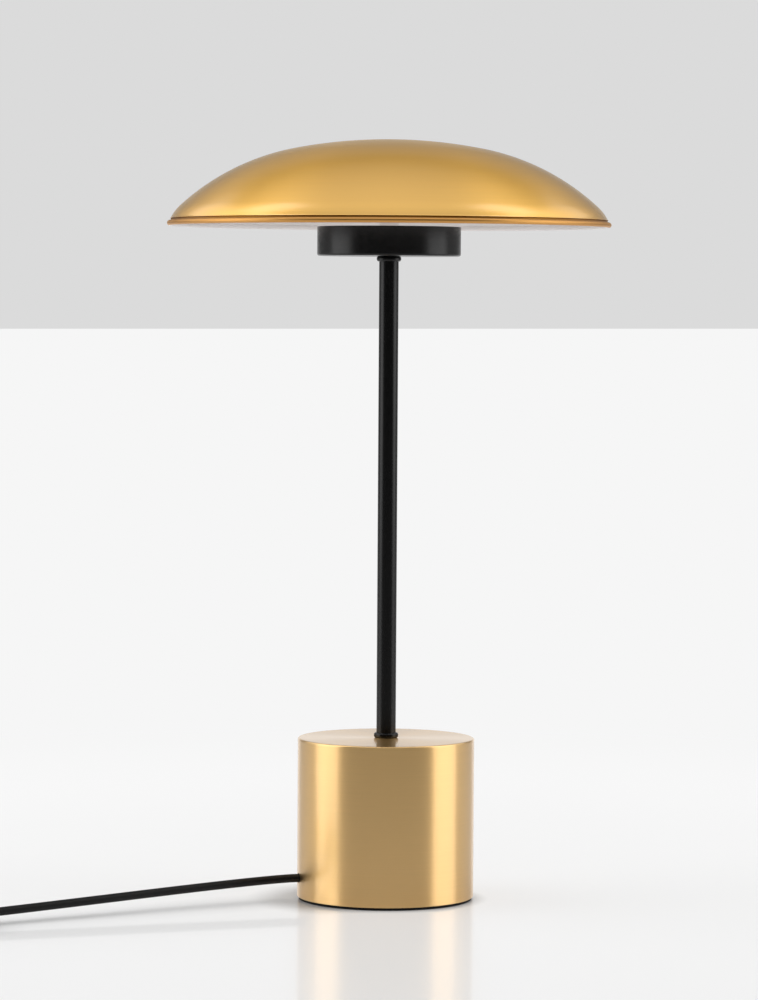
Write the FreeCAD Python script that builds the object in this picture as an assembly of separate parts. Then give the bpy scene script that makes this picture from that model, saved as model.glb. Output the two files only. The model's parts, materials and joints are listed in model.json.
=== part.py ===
import FreeCAD, Part
import math
import os

# Dome shade desk lamp. Millimetres, +Z up, origin at the centre of the foot on the table.
# The front is -Y. The lead leaves the base on the -X side, and +X is to the right.

V = FreeCAD.Vector
UP = V(0, 0, 1)

# ---------------------------------------------------------------- driving sizes: foot and base
PAD_T = 1.5               # foam pad under the base
PAD_INSET = 1.0           # how far the pad stays inside the brass
BASE_R = 50.0
SHELL_H = 90.0
SHELL_WALL = 1.5
SHELL_TOP_T = 2.5
SHELL_EDGE_R = 1.0        # turned edge round the top
SHELL_HEEL_R = 0.4        # broken edge round the bottom
SHELL_INNER_R = 1.5       # fillet inside the top
PLATE_T = 2.0             # steel closing plate
WEIGHT_H = 38.0           # cast iron block under the top
WEIGHT_CLEAR = 0.5
PILLAR_R = 6.0            # cast legs that carry the closing plate
PILLAR_COUNT = 3
PILLAR_FROM_RIM = 4.0
PILLAR_TURN = 30.0        # degrees from +X to the first leg
WEIGHT_ROUND_R = 2.0      # cast edge round the weight's foot
SINK = 1.0                # how far a fused form runs into the one that carries it

# ---------------------------------------------------------------- driving sizes: stem and its joints
STEM_R = 5.5
STEM_L = 266.2            # tube between the two collars
COLLAR_R = 6.9
COLLAR_H = 3.0
COLLAR_ROUND_R = 1.2
THREAD_R = 4.0            # M8 hollow threaded rod
THREAD_BORE_R = 2.75
THREAD_GRIP = 15.0        # length screwed into each end of the stem
NUT_FLATS = 13.0
NUT_H = 6.5
NUT_THIN_H = 5.0
NUT_CHAMFER = 1.0
WASHER_R = 8.5
WASHER_T = 1.0
ROD_TAIL = 3.0            # rod left standing past its nut
NIPPLE_TAIL = 1.0         # nipple left standing past the nut in the can

# ---------------------------------------------------------------- driving sizes: lamp can
CAN_R = 40.5
CAN_H = 16.5
CAN_WALL = 3.0
CAN_FLOOR_T = 2.0
CAN_EDGE_R = 1.2
CAN_LIP_R = 0.3
DIFFUSER_T = 2.0
DIFFUSER_SET = 0.2        # how far the diffuser lies below the can's rim
DIFFUSER_SEAT = 1.7       # width of the step that carries it
SPREADER_T = 4.0          # aluminium heat spreader
SPREADER_HOLE_R = 10.0
BOARD_T = 1.6
BOARD_R = 36.0
CHIP_COUNT = 24
CHIP_RING_R = 27.0
CHIP_L = 3.5
CHIP_W = 2.8
CHIP_H = 0.8
BOARD_SCREW_COUNT = 3
BOARD_SCREW_RING_R = 15.5

# ---------------------------------------------------------------- driving sizes: shade
SHADE_R = 125.0
SHADE_T = 1.2
CROWN_ARC_R = 280.0       # flat crown
CROWN_DEG = 11.0
SHOULDER_ARC_R = 132.0    # main sweep
EDGE_ARC_R = 25.0         # steeper turn just above the bead
EDGE_DEG = 70.0
BEAD_R = 1.5              # rolled bead round the rim
BOSS_R = 16.0
BOSS_T = 3.0
HUB_R = 7.5
HUB_H = 10.0
POST_R = 5.5
BOSS_ROUND_R = 0.6
WIRE_SLOT_HALF = 1.4      # half the height of the slot in the post where the wires come out
WIRE_SLOT_RAISE = 0.6     # slot's middle above half way from the nut to the diffuser
STUD_IN_POST = 10.0
STUD_END_GAP = 1.0

# ---------------------------------------------------------------- driving sizes: electrics in the base
DRIVER_L = 50.0
DRIVER_W = 28.0
DRIVER_H = 20.0
DRIVER_X = 12.0           # centre
DRIVER_Y = -6.0
DRIVER_EAR_L = 6.0
DRIVER_EAR_T = 2.0
DRIVER_ROUND_R = 1.5
TERMINAL_L = 8.0
TERMINAL_W = 16.0
TERMINAL_H = 14.0
TERMINAL_GAP = 4.0        # between the terminal block and the driver's ear
TERMINAL_WELL_R = 2.2     # screw wells in the block's top
TERMINAL_WELL_H = 3.0
CLAMP_L = 8.0
CLAMP_W = 22.0
CLAMP_TOP_T = 3.0
CLAMP_SPLIT = 0.6         # gap left between the two halves of the cord clamp
CLAMP_FROM_WALL = 10.5    # from the shell's bore to the clamp's middle
CLAMP_SCREW_SPACING = 14.0
M3_R = 1.5
M3_HEAD_R = 2.75
M3_HEAD_H = 1.8
M4_R = 2.0
M4_HEAD_R = 3.9
M4_LENGTH = 14.0
WIRE_R = 0.7
WIRE_OFF = 0.9            # half the distance between the two wires of a pair
WIRE_STRAIGHT = 2.0       # straight stretch of a wire at its terminal
LED_WIRE_OUT = 5.0        # first run out of the driver's end
LED_WIRE_BOW = 7.0        # furthest out on the way up
LED_WIRE_OVER = 3.0       # above the driver's top
LED_WIRE_BACK = 12.0      # back over the driver
LED_WIRE_RISE_R = 6.0     # from the axis, where the wires turn up
LED_WIRE_RISE_Z = 12.0    # above the driver's top, where they stand upright
LED_WIRE_STEP = 5.0       # runs over the board, down to it and along it

# ---------------------------------------------------------------- driving sizes: lead, switch and plug
CORD_R = 2.4
CORD_EXIT_Z = 12.6
CORD_EXIT_DEG = 12.0      # from -X towards the front
CORD_PAST_CLAMP = 5.0     # from the clamp's middle to where the sheath ends
BUSH_R = 4.2
BUSH_LIP_R = 5.0
BUSH_LIP_T = 0.8
BUSH_TAIL = 2.5
SWITCH_L = 62.0
SWITCH_W = 25.0
SWITCH_END_W = 13.0
SWITCH_H = 14.0
SWITCH_WALL = 1.6
SWITCH_TAPER_L = 15.5     # from each end to the full width
SWITCH_SIDE_R = 12.0      # where the full width starts
SWITCH_CORNER_R = 2.5
SWITCH_EDGE_R = 1.6
ROCKER_L = 21.0
ROCKER_W = 11.0
ROCKER_RISE = 3.4         # rocker's top above its pivot, at the middle
ROCKER_DROP = 2.2
ROCKER_DISH_R = 30.0      # hollow of its top
ROCKER_TIP_R = 0.6
ROCKER_FOOT_R = 0.5
ROCKER_END_FLAT = 1.0     # how far the ends' turned part reaches in
ROCKER_TILT = 8.0         # degrees each way from level
ROCKER_GAP = 0.5          # round the rocker in its window
PIVOT_R = 1.0
PIVOT_BELOW_TOP = 3.6
PIVOT_LUG_T = 1.6
PIVOT_LUG_L = 5.0
SWITCH_SCREW_X = 13.0     # from each end
SWITCH_SCREW_Y = 5.6
SWITCH_BOSS_R = 2.9
SWITCH_SCREW_SINK = 0.6
SWITCH_SCREW_GRIP = 4.0
PLUG_RELIEF_L = 22.0
PLUG_L = 34.0
PLUG_W = 35.3
PLUG_T = 13.7
PLUG_BACK_W = 14.0
PLUG_BACK_R = 2.0         # corners at the tail
PLUG_SHOULDER = 18.7      # from the tail to the full width
PLUG_SHOULDER_R = 12.0
PLUG_FACE_R = 1.0         # corners at the pins' face
PLUG_ROUND_R = 3.0
RELIEF_WALL = 0.6         # tapered tail's wall at its tip
RELIEF_ROOT_WALL = 2.4    # and where it grows out of the plug
PIN_R = 2.0
PIN_L = 19.0
PIN_SPACING = 19.0

# ---------------------------------------------------------------- the lead's route, chosen by hand
SWITCH_FROM = V(-222.5, -113.92, 6.6)    # where the lead goes into the switch
LEAD_STRAIGHT = 16.0      # straight out of the base to the first bend
LEAD_LEVEL = 14.0         # last run, level into the switch
TAIL_LEVEL = 18.0         # first run, level out of the switch
TAIL_ROUTE = [
    V(-306.8, -160.6, 5.0),
    V(-323.3, -156.5, 3.2),
    V(-336.5, -145.5, 2.4),
    V(-343.8, -130.2, 2.4),
    V(-345.3, -114.7, 2.4),
    V(-345.3, -99.7, 2.4),
]
END_ROUTE = [
    V(-345.3, -75.2, 7.8),
    V(-343.0, -59.7, 4.8),
    V(-340.0, -44.2, 4.5),
    V(-338.9, -28.7, 6.85),
    V(-338.9, -14.2, 6.85),
]
COIL_OUTER_R = 37.2       # centre line of the outermost turn
COIL_STEP = 5.4           # from one turn to the next, and from layer to layer
COIL_TURNS = 7.0          # in with 3.25, half a turn to climb, out with 3.25
COIL_CLIMB = 0.5          # share of a turn in which it climbs
BEND_SHARE = 0.45         # part of a run that the arc at its end takes
GAP_STEPS = 12            # points on each arc when the coil's gap to itself is measured

# ---------------------------------------------------------------- fits
FIT = 0.3                 # loose fit between separate pieces
THREAD_FIT = 0.05
PLATE_FIT = 0.2
PIVOT_FIT = 0.06
SLIP = 0.1                # close slip fit
TOLERANCE = 1e-6

# ---------------------------------------------------------------- heights worked out from those
BASE_TOP = PAD_T + SHELL_H
CEILING = BASE_TOP - SHELL_TOP_T
PLATE_TOP = PAD_T + PLATE_T
WEIGHT_BOTTOM = CEILING - WEIGHT_H
STEM_BOTTOM = BASE_TOP + COLLAR_H
STEM_TOP = STEM_BOTTOM + STEM_L
CAN_BOTTOM = STEM_TOP + COLLAR_H
CAN_TOP = CAN_BOTTOM + CAN_H
CAN_FLOOR = CAN_BOTTOM + CAN_FLOOR_T
RIM_Z = CAN_TOP
CAN_NUT_TOP = CAN_FLOOR + WASHER_T + NUT_THIN_H
DIFFUSER_TOP = CAN_TOP - DIFFUSER_SET
DIFFUSER_BOTTOM = DIFFUSER_TOP - DIFFUSER_T
BOARD_BOTTOM = CAN_FLOOR + SPREADER_T
BOARD_TOP = BOARD_BOTTOM + BOARD_T
WIRE_SLOT_Z = (CAN_NUT_TOP + DIFFUSER_BOTTOM) / 2 + WIRE_SLOT_RAISE
SHELL_BORE_R = BASE_R - SHELL_WALL
WEIGHT_R = SHELL_BORE_R - WEIGHT_CLEAR
PILLAR_RING_R = WEIGHT_R - PILLAR_R - PILLAR_FROM_RIM
CLAMP_AT_R = SHELL_BORE_R - CLAMP_FROM_WALL
CORD_IN_R = CLAMP_AT_R - CORD_PAST_CLAMP
LEAD_OUT_R = BASE_R + LEAD_STRAIGHT
THREAD_HOLE_R = THREAD_R + FIT
CORD_D = 2 * CORD_R


# ---------------------------------------------------------------- building helpers
def tube(outer_r, inner_r, z0, z1):
    """Round tube on the lamp's axis."""
    body = Part.makeCylinder(outer_r, z1 - z0, V(0, 0, z0))
    return body.cut(Part.makeCylinder(inner_r, z1 - z0, V(0, 0, z0)))


def disc(radius, z0, z1, x=0.0, y=0.0):
    """Round bar or disc standing at x, y."""
    return Part.makeCylinder(radius, z1 - z0, V(x, y, z0))


def block(length, width, height, x=0.0, y=0.0, z=0.0):
    """Box centred on x, y and standing on z."""
    return Part.makeBox(length, width, height, V(x - length / 2, y - width / 2, z))


def outline(corners):
    """Closed wire through corners of (point, radius), each corner rounded by its radius."""
    ends = []
    for i, (here, radius) in enumerate(corners):
        before = corners[i - 1][0]
        after = corners[(i + 1) % len(corners)][0]
        back = (before - here).normalize()
        ahead = (after - here).normalize()
        if radius == 0:
            ends.append((here, here, here))
            continue
        half = back.getAngle(ahead) / 2
        reach = radius / math.tan(half)
        middle = here + (back + ahead).normalize() * (radius / math.sin(half) - radius)
        ends.append((here + back * reach, middle, here + ahead * reach))
    edges = []
    for i, (start, middle, finish) in enumerate(ends):
        if (finish - start).Length > 0:
            edges.append(Part.Arc(start, middle, finish).toShape())
        following = ends[(i + 1) % len(ends)][0]
        edges.append(Part.LineSegment(finish, following).toShape())
    return Part.Wire(edges)


def turned(*corners):
    """Solid turned about the lamp's axis from corners of (radius, height, rounding)."""
    wire = outline([(V(r, 0, z), rounding) for r, z, rounding in corners])
    return Part.Face(wire).revolve(V(0, 0, 0), UP, 360)


def pushed_up(corners, z0, z1):
    """Solid with the plan of corners of (x, y, rounding), from z0 to z1."""
    wire = outline([(V(x, y, z0), rounding) for x, y, rounding in corners])
    return Part.Face(wire).extrude(V(0, 0, z1 - z0))


def around(shape, count, first_deg=0.0):
    """Copies of a shape, evenly spaced about the lamp's axis."""
    copies = []
    for i in range(count):
        copy = shape.copy()
        copy.rotate(V(0, 0, 0), UP, first_deg + 360.0 * i / count)
        copies.append(copy)
    return copies


def hexagon(flats, z0, z1):
    """Hexagonal nut blank, given across flats."""
    corner_r = flats / 2 / math.cos(math.pi / 6)
    points = []
    for i in range(6):
        angle = math.pi / 3 * i
        points.append((corner_r * math.cos(angle), corner_r * math.sin(angle), 0))
    blank = pushed_up(points, z0, z1)
    chamfer = turned((0, z0, 0), (flats / 2, z0, 0), (corner_r, z0 + NUT_CHAMFER, 0),
                     (corner_r, z1 - NUT_CHAMFER, 0), (flats / 2, z1, 0), (0, z1, 0))
    return blank.common(chamfer)


def write(name, shape):
    """Write one piece, or one group of equal pieces, as its own file."""
    shape.exportStep("parts/" + name + ".step")


# ---------------------------------------------------------------- paths of cords and wires
def rounded_path(points):
    """Straight runs joined by arcs as large as their runs allow. Returns the wire and the radii."""
    edges = []
    radii = []
    start = points[0]
    for before, here, after in zip(points, points[1:], points[2:]):
        back = before - here
        ahead = after - here
        reach = BEND_SHARE * min(back.Length, ahead.Length)
        back.normalize()
        ahead.normalize()
        half = back.getAngle(ahead) / 2
        radius = reach * math.tan(half)
        middle = here + (back + ahead).normalize() * (radius / math.sin(half) - radius)
        edges.append(Part.LineSegment(start, here + back * reach).toShape())
        edges.append(Part.Arc(here + back * reach, middle, here + ahead * reach).toShape())
        start = here + ahead * reach
        radii.append(radius)
    edges.append(Part.LineSegment(start, points[-1]).toShape())
    return Part.Wire(edges), radii


def swept(path, radius, name):
    """Round tube along a path; its volume is compared with section times length."""
    first = path.Edges[0]
    ahead = first.tangentAt(first.FirstParameter)
    ring = Part.Wire([Part.Circle(first.valueAt(first.FirstParameter), ahead, radius).toShape()])
    solid = path.makePipeShell([ring], True, False)
    expected = math.pi * radius ** 2 * path.Length
    print(f"{name}: length {path.Length:.1f} mm, volume / expected {solid.Volume / expected:.5f}")
    return solid


def lead(points, radius, name):
    """Cord or wire along straight runs and arcs, with its radii printed."""
    path, radii = rounded_path(points)
    if radii:
        print(f"{name}: radii " + " ".join(f"{r:.1f}" for r in radii))
    return swept(path, radius, name)


def tangent_arc(start, ahead, finish):
    """Arc that leaves start in the direction ahead and ends at finish."""
    chord = finish - start
    along = V(chord).normalize()
    side = ahead - along * ahead.dot(along)
    if side.Length < TOLERANCE:
        return Part.LineSegment(start, finish).toShape()
    half = ahead.getAngle(along)
    middle = (start + finish) * 0.5 + side.normalize() * (chord.Length / 2 * math.tan(half / 2))
    return Part.Arc(start, middle, finish).toShape()


def biarc(start, ahead, finish, onward):
    """Two arcs that join start to finish and keep both directions."""
    chord = finish - start
    both = ahead + onward
    apart = 1 - ahead.dot(onward)
    reach = chord.dot(both)
    handle = (-reach + math.sqrt(reach ** 2 + 2 * apart * chord.dot(chord))) / (2 * apart)
    joint = (start + finish + (ahead - onward) * handle) * 0.5
    first = tangent_arc(start, ahead, joint)
    joint_ahead = first.tangentAt(first.LastParameter)
    return [first, tangent_arc(joint, joint_ahead, finish)]


# ---------------------------------------------------------------- base
def base_shell():
    """Spun brass-plated cup: flat top, crisp turned edge, hole for the lead."""
    cup = turned((THREAD_HOLE_R, BASE_TOP, 0), (BASE_R, BASE_TOP, SHELL_EDGE_R),
                 (BASE_R, PAD_T, SHELL_HEEL_R), (SHELL_BORE_R, PAD_T, 0),
                 (SHELL_BORE_R, CEILING, SHELL_INNER_R), (THREAD_HOLE_R, CEILING, 0))
    return cup.cut(at_exit(BUSH_R, SHELL_BORE_R - SHELL_WALL, BASE_R + SHELL_WALL))


def at_exit(radius, from_r, to_r):
    """Round bar along the lead's way out, between two distances from the lamp's axis."""
    outward = exit_direction()
    return Part.makeCylinder(radius, to_r - from_r, exit_point(from_r), outward)


def exit_direction():
    angle = math.radians(180 + CORD_EXIT_DEG)
    return V(math.cos(angle), math.sin(angle), 0)


def exit_point(from_axis):
    return exit_direction() * from_axis + V(0, 0, CORD_EXIT_Z)


def cord_bush():
    """Nylon bush in the shell's wall, with a lip outside and a tail inside."""
    body = at_exit(BUSH_R - SLIP, SHELL_BORE_R - BUSH_TAIL, BASE_R)
    lip = at_exit(BUSH_LIP_R, BASE_R, BASE_R + BUSH_LIP_T)
    seat = Part.makeCylinder(BASE_R, SHELL_H, V(0, 0, PAD_T))
    inside = Part.makeCylinder(SHELL_BORE_R, SHELL_H, V(0, 0, PAD_T))
    lip_saddle = at_exit(BUSH_LIP_R, SHELL_BORE_R, BASE_R).cut(seat)
    outer_body = body.cut(inside).common(seat)
    return lip.fuse([lip_saddle, outer_body, body.common(inside)]).removeSplitter().cut(
        at_exit(CORD_R, CORD_IN_R, BASE_R + 2 * BUSH_LIP_T))


def base_weight():
    """Cast iron block under the top, with three legs that carry the closing plate."""
    casting = turned((THREAD_HOLE_R, CEILING, 0), (WEIGHT_R, CEILING, SHELL_INNER_R + WEIGHT_CLEAR),
                     (WEIGHT_R, WEIGHT_BOTTOM, WEIGHT_ROUND_R), (THREAD_HOLE_R, WEIGHT_BOTTOM, 0))
    leg = disc(PILLAR_R, PLATE_TOP, WEIGHT_BOTTOM + SINK, PILLAR_RING_R, 0)
    hole = disc(M4_R, PLATE_TOP, PLATE_TOP + M4_LENGTH, PILLAR_RING_R, 0)
    casting = casting.fuse(around(leg, PILLAR_COUNT, PILLAR_TURN)).removeSplitter()
    return casting.cut(Part.makeCompound(around(hole, PILLAR_COUNT, PILLAR_TURN)))


def countersunk_cone(z, x):
    return Part.makeCone(M4_HEAD_R, M4_R, M4_HEAD_R - M4_R, V(x, 0, z))


def plate_screws():
    """Countersunk screws, flush with the plate's underside."""
    shank = disc(M4_R, PAD_T, PAD_T + M4_LENGTH, PILLAR_RING_R, 0)
    screw = shank.fuse(countersunk_cone(PAD_T, PILLAR_RING_R)).removeSplitter()
    return Part.makeCompound(around(screw, PILLAR_COUNT, PILLAR_TURN))


def bottom_plate():
    """Steel plate inside the shell's foot, with holes for its screws and for what stands on it."""
    plate = disc(SHELL_BORE_R - PLATE_FIT, PAD_T, PLATE_TOP)
    hole = disc(M4_R, PAD_T, PLATE_TOP, PILLAR_RING_R, 0)
    hole = hole.fuse(countersunk_cone(PAD_T, PILLAR_RING_R)).removeSplitter()
    plate = plate.cut(Part.makeCompound(around(hole, PILLAR_COUNT, PILLAR_TURN)))
    for x, y in driver_screw_places() + clamp_screw_places():
        plate = plate.cut(disc(M3_R, PAD_T, PLATE_TOP, x, y))
    return plate


def foot_pad():
    radius = BASE_R - PAD_INSET
    return turned((0, 0, 0), (radius, 0, SHELL_HEEL_R), (radius, PAD_T, 0), (0, PAD_T, 0))


def driver_screw_places():
    reach = DRIVER_L / 2 + DRIVER_EAR_L / 2
    return [(DRIVER_X - reach, DRIVER_Y), (DRIVER_X + reach, DRIVER_Y)]


def led_driver():
    """Moulded driver case with a screw ear at each end."""
    case = block(DRIVER_L, DRIVER_W, DRIVER_H, DRIVER_X, DRIVER_Y, PLATE_TOP)
    rims = [e for e in case.Edges if e.CenterOfMass.z > PLATE_TOP]
    case = case.makeFillet(DRIVER_ROUND_R, rims)
    ears = block(DRIVER_L + 2 * DRIVER_EAR_L, DRIVER_W / 2, DRIVER_EAR_T, DRIVER_X, DRIVER_Y, PLATE_TOP)
    case = case.fuse(ears).removeSplitter()
    for x, y in driver_screw_places():
        case = case.cut(disc(M3_R + SLIP, PLATE_TOP, PLATE_TOP + DRIVER_EAR_T, x, y))
    return case


def pan_screw(x, y, seat_z, foot_z):
    """Pan head screw from its seat down to its foot."""
    screw = disc(M3_R, foot_z, seat_z, x, y).fuse(disc(M3_HEAD_R, seat_z, seat_z + M3_HEAD_H, x, y))
    return screw.removeSplitter()


def driver_screws():
    seat = PLATE_TOP + DRIVER_EAR_T
    return Part.makeCompound([pan_screw(x, y, seat, PAD_T) for x, y in driver_screw_places()])


def terminal_x():
    return DRIVER_X - DRIVER_L / 2 - DRIVER_EAR_L - TERMINAL_GAP


def terminal_block():
    """Two-way screw terminal standing on the plate."""
    body = block(TERMINAL_L, TERMINAL_W, TERMINAL_H, terminal_x(), DRIVER_Y, PLATE_TOP)
    for side in (-1, 1):
        y = DRIVER_Y + side * TERMINAL_W / 4
        top = PLATE_TOP + TERMINAL_H
        well = disc(TERMINAL_WELL_R, top - TERMINAL_WELL_H, top, terminal_x(), y)
        way = Part.makeCylinder(WIRE_R + SLIP, TERMINAL_L,
                                V(terminal_x() - TERMINAL_L / 2, y, wire_z()), V(1, 0, 0))
        body = body.cut(well).cut(way)
    return body


def wire_z():
    return PLATE_TOP + TERMINAL_H / 2


def clamp_half(z0, z1):
    """Half of the cord clamp, across the lead where it comes into the base."""
    half = block(CLAMP_L, CLAMP_W, z1 - z0, -CLAMP_AT_R, 0, z0)
    for side in (-1, 1):
        half = half.cut(disc(M3_R, z0, z1, -CLAMP_AT_R, side * CLAMP_SCREW_SPACING / 2))
    half.rotate(V(0, 0, 0), UP, CORD_EXIT_DEG)
    return half.cut(at_exit(CORD_R, 0, BASE_R))


def clamp_screw_places():
    angle = math.radians(CORD_EXIT_DEG)
    places = []
    for side in (-1, 1):
        x, y = -CLAMP_AT_R, side * CLAMP_SCREW_SPACING / 2
        places.append((x * math.cos(angle) - y * math.sin(angle), x * math.sin(angle) + y * math.cos(angle)))
    return places


def clamp_top_z():
    return CORD_EXIT_Z + CORD_R + CLAMP_TOP_T


def clamp_screws():
    return Part.makeCompound([pan_screw(x, y, clamp_top_z(), PAD_T) for x, y in clamp_screw_places()])


def mains_wires():
    """The lead's two cores, from its sheath to the terminal block."""
    wires = []
    inward = exit_direction() * -1
    across = inward.cross(UP) * -1
    face = terminal_x() - TERMINAL_L / 2
    for side in (-1, 1):
        y = DRIVER_Y + side * TERMINAL_W / 4
        start = exit_point(CORD_IN_R) + across * (side * WIRE_OFF)
        points = [start, start + inward * WIRE_STRAIGHT, V(face - WIRE_STRAIGHT, y, wire_z()),
                  V(face + TERMINAL_L / 2, y, wire_z())]
        wires.append(lead(points, WIRE_R, "mains wire"))
    return Part.makeCompound(wires)


def driver_wires():
    """Short cores from the terminal block to the driver."""
    wires = []
    for side in (-1, 1):
        y = DRIVER_Y + side * TERMINAL_W / 4
        start = terminal_x() + SLIP
        finish = DRIVER_X - DRIVER_L / 2
        wires.append(Part.makeCylinder(WIRE_R, finish - start, V(start, y, wire_z()), V(1, 0, 0)))
    return Part.makeCompound(wires)


def led_wires():
    """Two wires from the driver, up the hollow rod and stem, out into the can and down to the board."""
    wires = []
    end_x = DRIVER_X + DRIVER_L / 2
    case_top = PLATE_TOP + DRIVER_H
    over = case_top + LED_WIRE_OVER
    board = BOARD_TOP + WIRE_R
    landing = SPREADER_HOLE_R + LED_WIRE_STEP
    for side in (-1, 1):
        off = side * WIRE_OFF
        y = DRIVER_Y + off
        points = [V(end_x, y, wire_z()), V(end_x + LED_WIRE_OUT, y, wire_z()),
                  V(end_x + LED_WIRE_BOW, y, case_top - LED_WIRE_STEP), V(end_x + WIRE_STRAIGHT, y, over),
                  V(end_x - LED_WIRE_BACK, DRIVER_Y / 2 + off, over), V(LED_WIRE_RISE_R, off, over + SINK),
                  V(0, off, case_top + LED_WIRE_RISE_Z), V(0, off, WIRE_SLOT_Z),
                  V(POST_R + LED_WIRE_STEP + SINK, off, WIRE_SLOT_Z), V(landing, off, board),
                  V(landing + LED_WIRE_STEP, off, board)]
        wires.append(lead(points, WIRE_R, "stem wire"))
    return Part.makeCompound(wires)


# ---------------------------------------------------------------- stem
def collar(z0):
    return turned((THREAD_HOLE_R, z0, 0), (COLLAR_R, z0, COLLAR_ROUND_R),
                  (COLLAR_R, z0 + COLLAR_H, COLLAR_ROUND_R), (THREAD_HOLE_R, z0 + COLLAR_H, 0))


def nut(height, z0):
    return hexagon(NUT_FLATS, z0, z0 + height).cut(disc(THREAD_R + THREAD_FIT, z0, z0 + height))


def rod_bottom():
    return WEIGHT_BOTTOM - WASHER_T - NUT_H - ROD_TAIL


# ---------------------------------------------------------------- lamp can
def lamp_can():
    """Turned cup with a step near its rim that carries the diffuser."""
    inner_r = CAN_R - CAN_WALL
    cup = turned((THREAD_HOLE_R, CAN_BOTTOM, 0), (CAN_R, CAN_BOTTOM, CAN_EDGE_R), (CAN_R, CAN_TOP, CAN_LIP_R),
                 (inner_r + DIFFUSER_SEAT, CAN_TOP, 0), (inner_r + DIFFUSER_SEAT, DIFFUSER_BOTTOM, 0),
                 (inner_r, DIFFUSER_BOTTOM, 0), (inner_r, CAN_FLOOR, 0), (THREAD_HOLE_R, CAN_FLOOR, 0))
    screw_holes = around(disc(M3_R, CAN_BOTTOM + SLIP, CAN_FLOOR, BOARD_SCREW_RING_R, 0),
                         BOARD_SCREW_COUNT, board_screw_turn())
    return cup.cut(Part.makeCompound(screw_holes))


def board_screw_turn():
    return 180.0 / BOARD_SCREW_COUNT


def ring_with_holes(outer_r, z0, z1):
    """Flat ring with the holes of the board's screws."""
    ring = tube(outer_r, SPREADER_HOLE_R, z0, z1)
    hole = disc(M3_R + SLIP, z0, z1, BOARD_SCREW_RING_R, 0)
    return ring.cut(Part.makeCompound(around(hole, BOARD_SCREW_COUNT, board_screw_turn())))


def led_chips():
    chip = block(CHIP_L, CHIP_W, CHIP_H, CHIP_RING_R, 0, BOARD_TOP)
    return Part.makeCompound(around(chip, CHIP_COUNT, 180.0 / CHIP_COUNT))


def board_screws():
    screw = pan_screw(BOARD_SCREW_RING_R, 0, BOARD_TOP, CAN_FLOOR - CAN_FLOOR_T / 2)
    return Part.makeCompound(around(screw, BOARD_SCREW_COUNT, board_screw_turn()))


# ---------------------------------------------------------------- shade
def shade_arcs():
    """Centres of the shade's three arcs, as (radius, height), and the angle where the last two meet."""
    a1 = math.radians(CROWN_DEG)
    a3 = math.radians(EDGE_DEG)
    end_r = SHADE_R - BEAD_R + SHADE_T / 2 * math.sin(a3)
    end_z = RIM_Z + BEAD_R + SHADE_T / 2 * math.cos(a3)
    crown_to_shoulder = (CROWN_ARC_R - SHOULDER_ARC_R) * math.sin(a1)
    sine = (end_r - crown_to_shoulder - EDGE_ARC_R * math.sin(a3)) / (SHOULDER_ARC_R - EDGE_ARC_R)
    a2 = math.asin(sine)
    edge = (end_r - EDGE_ARC_R * math.sin(a3), end_z - EDGE_ARC_R * math.cos(a3))
    step = SHOULDER_ARC_R - EDGE_ARC_R
    shoulder = (edge[0] - step * math.sin(a2), edge[1] - step * math.cos(a2))
    crown = (0.0, shoulder[1] - (CROWN_ARC_R - SHOULDER_ARC_R) * math.cos(a1))
    return crown, shoulder, edge, a1, a2, a3


def arc_point(centre, radius, angle):
    return V(centre[0] + radius * math.sin(angle), 0, centre[1] + radius * math.cos(angle))


def shade_line(inset):
    """The shade's three arcs from the apex to the rim, set in from its outer face."""
    crown, shoulder, edge, a1, a2, a3 = shade_arcs()
    pieces = []
    for centre, radius, start, finish in ((crown, CROWN_ARC_R, 0, a1), (shoulder, SHOULDER_ARC_R, a1, a2),
                                          (edge, EDGE_ARC_R, a2, a3)):
        r = radius - inset
        pieces.append(Part.Arc(arc_point(centre, r, start), arc_point(centre, r, (start + finish) / 2),
                               arc_point(centre, r, finish)).toShape())
    return pieces


def apex_z():
    crown = shade_arcs()[0]
    return crown[1] + CROWN_ARC_R


def dome_shade():
    """Spun sheet dome with a rolled bead round its rim."""
    outer = shade_line(0)
    inner = shade_line(SHADE_T)
    top = Part.LineSegment(V(0, 0, apex_z()), V(0, 0, apex_z() - SHADE_T)).toShape()
    foot = Part.LineSegment(outer[-1].valueAt(outer[-1].LastParameter),
                            inner[-1].valueAt(inner[-1].LastParameter)).toShape()
    wire = Part.Wire(Part.__sortEdges__(outer + inner + [top, foot]))
    sheet = Part.Face(wire).revolve(V(0, 0, 0), UP, 360)
    bead = Part.makeTorus(SHADE_R - BEAD_R, BEAD_R, V(0, 0, RIM_Z + BEAD_R))
    return sheet.fuse(bead).removeSplitter()


def hub_bottom():
    return apex_z() - SHADE_T - BOSS_T - HUB_H


def shade_boss():
    """Turned boss brazed under the crown, its top following the shade."""
    crown = shade_arcs()[0]
    ball_r = CROWN_ARC_R - SHADE_T
    low = apex_z() - SHADE_T - BOSS_T
    blank = turned((0, hub_bottom(), 0), (HUB_R, hub_bottom(), BOSS_ROUND_R), (HUB_R, low, 0),
                   (BOSS_R, low, BOSS_ROUND_R), (BOSS_R, apex_z(), 0), (0, apex_z(), 0))
    ball = Part.makeSphere(ball_r, V(0, 0, crown[1]))
    bore = disc(THREAD_R + THREAD_FIT, hub_bottom(), stud_top() + STUD_END_GAP)
    return blank.common(ball).cut(bore)


def stud_top():
    return apex_z() - SHADE_T - BOSS_T


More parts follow.
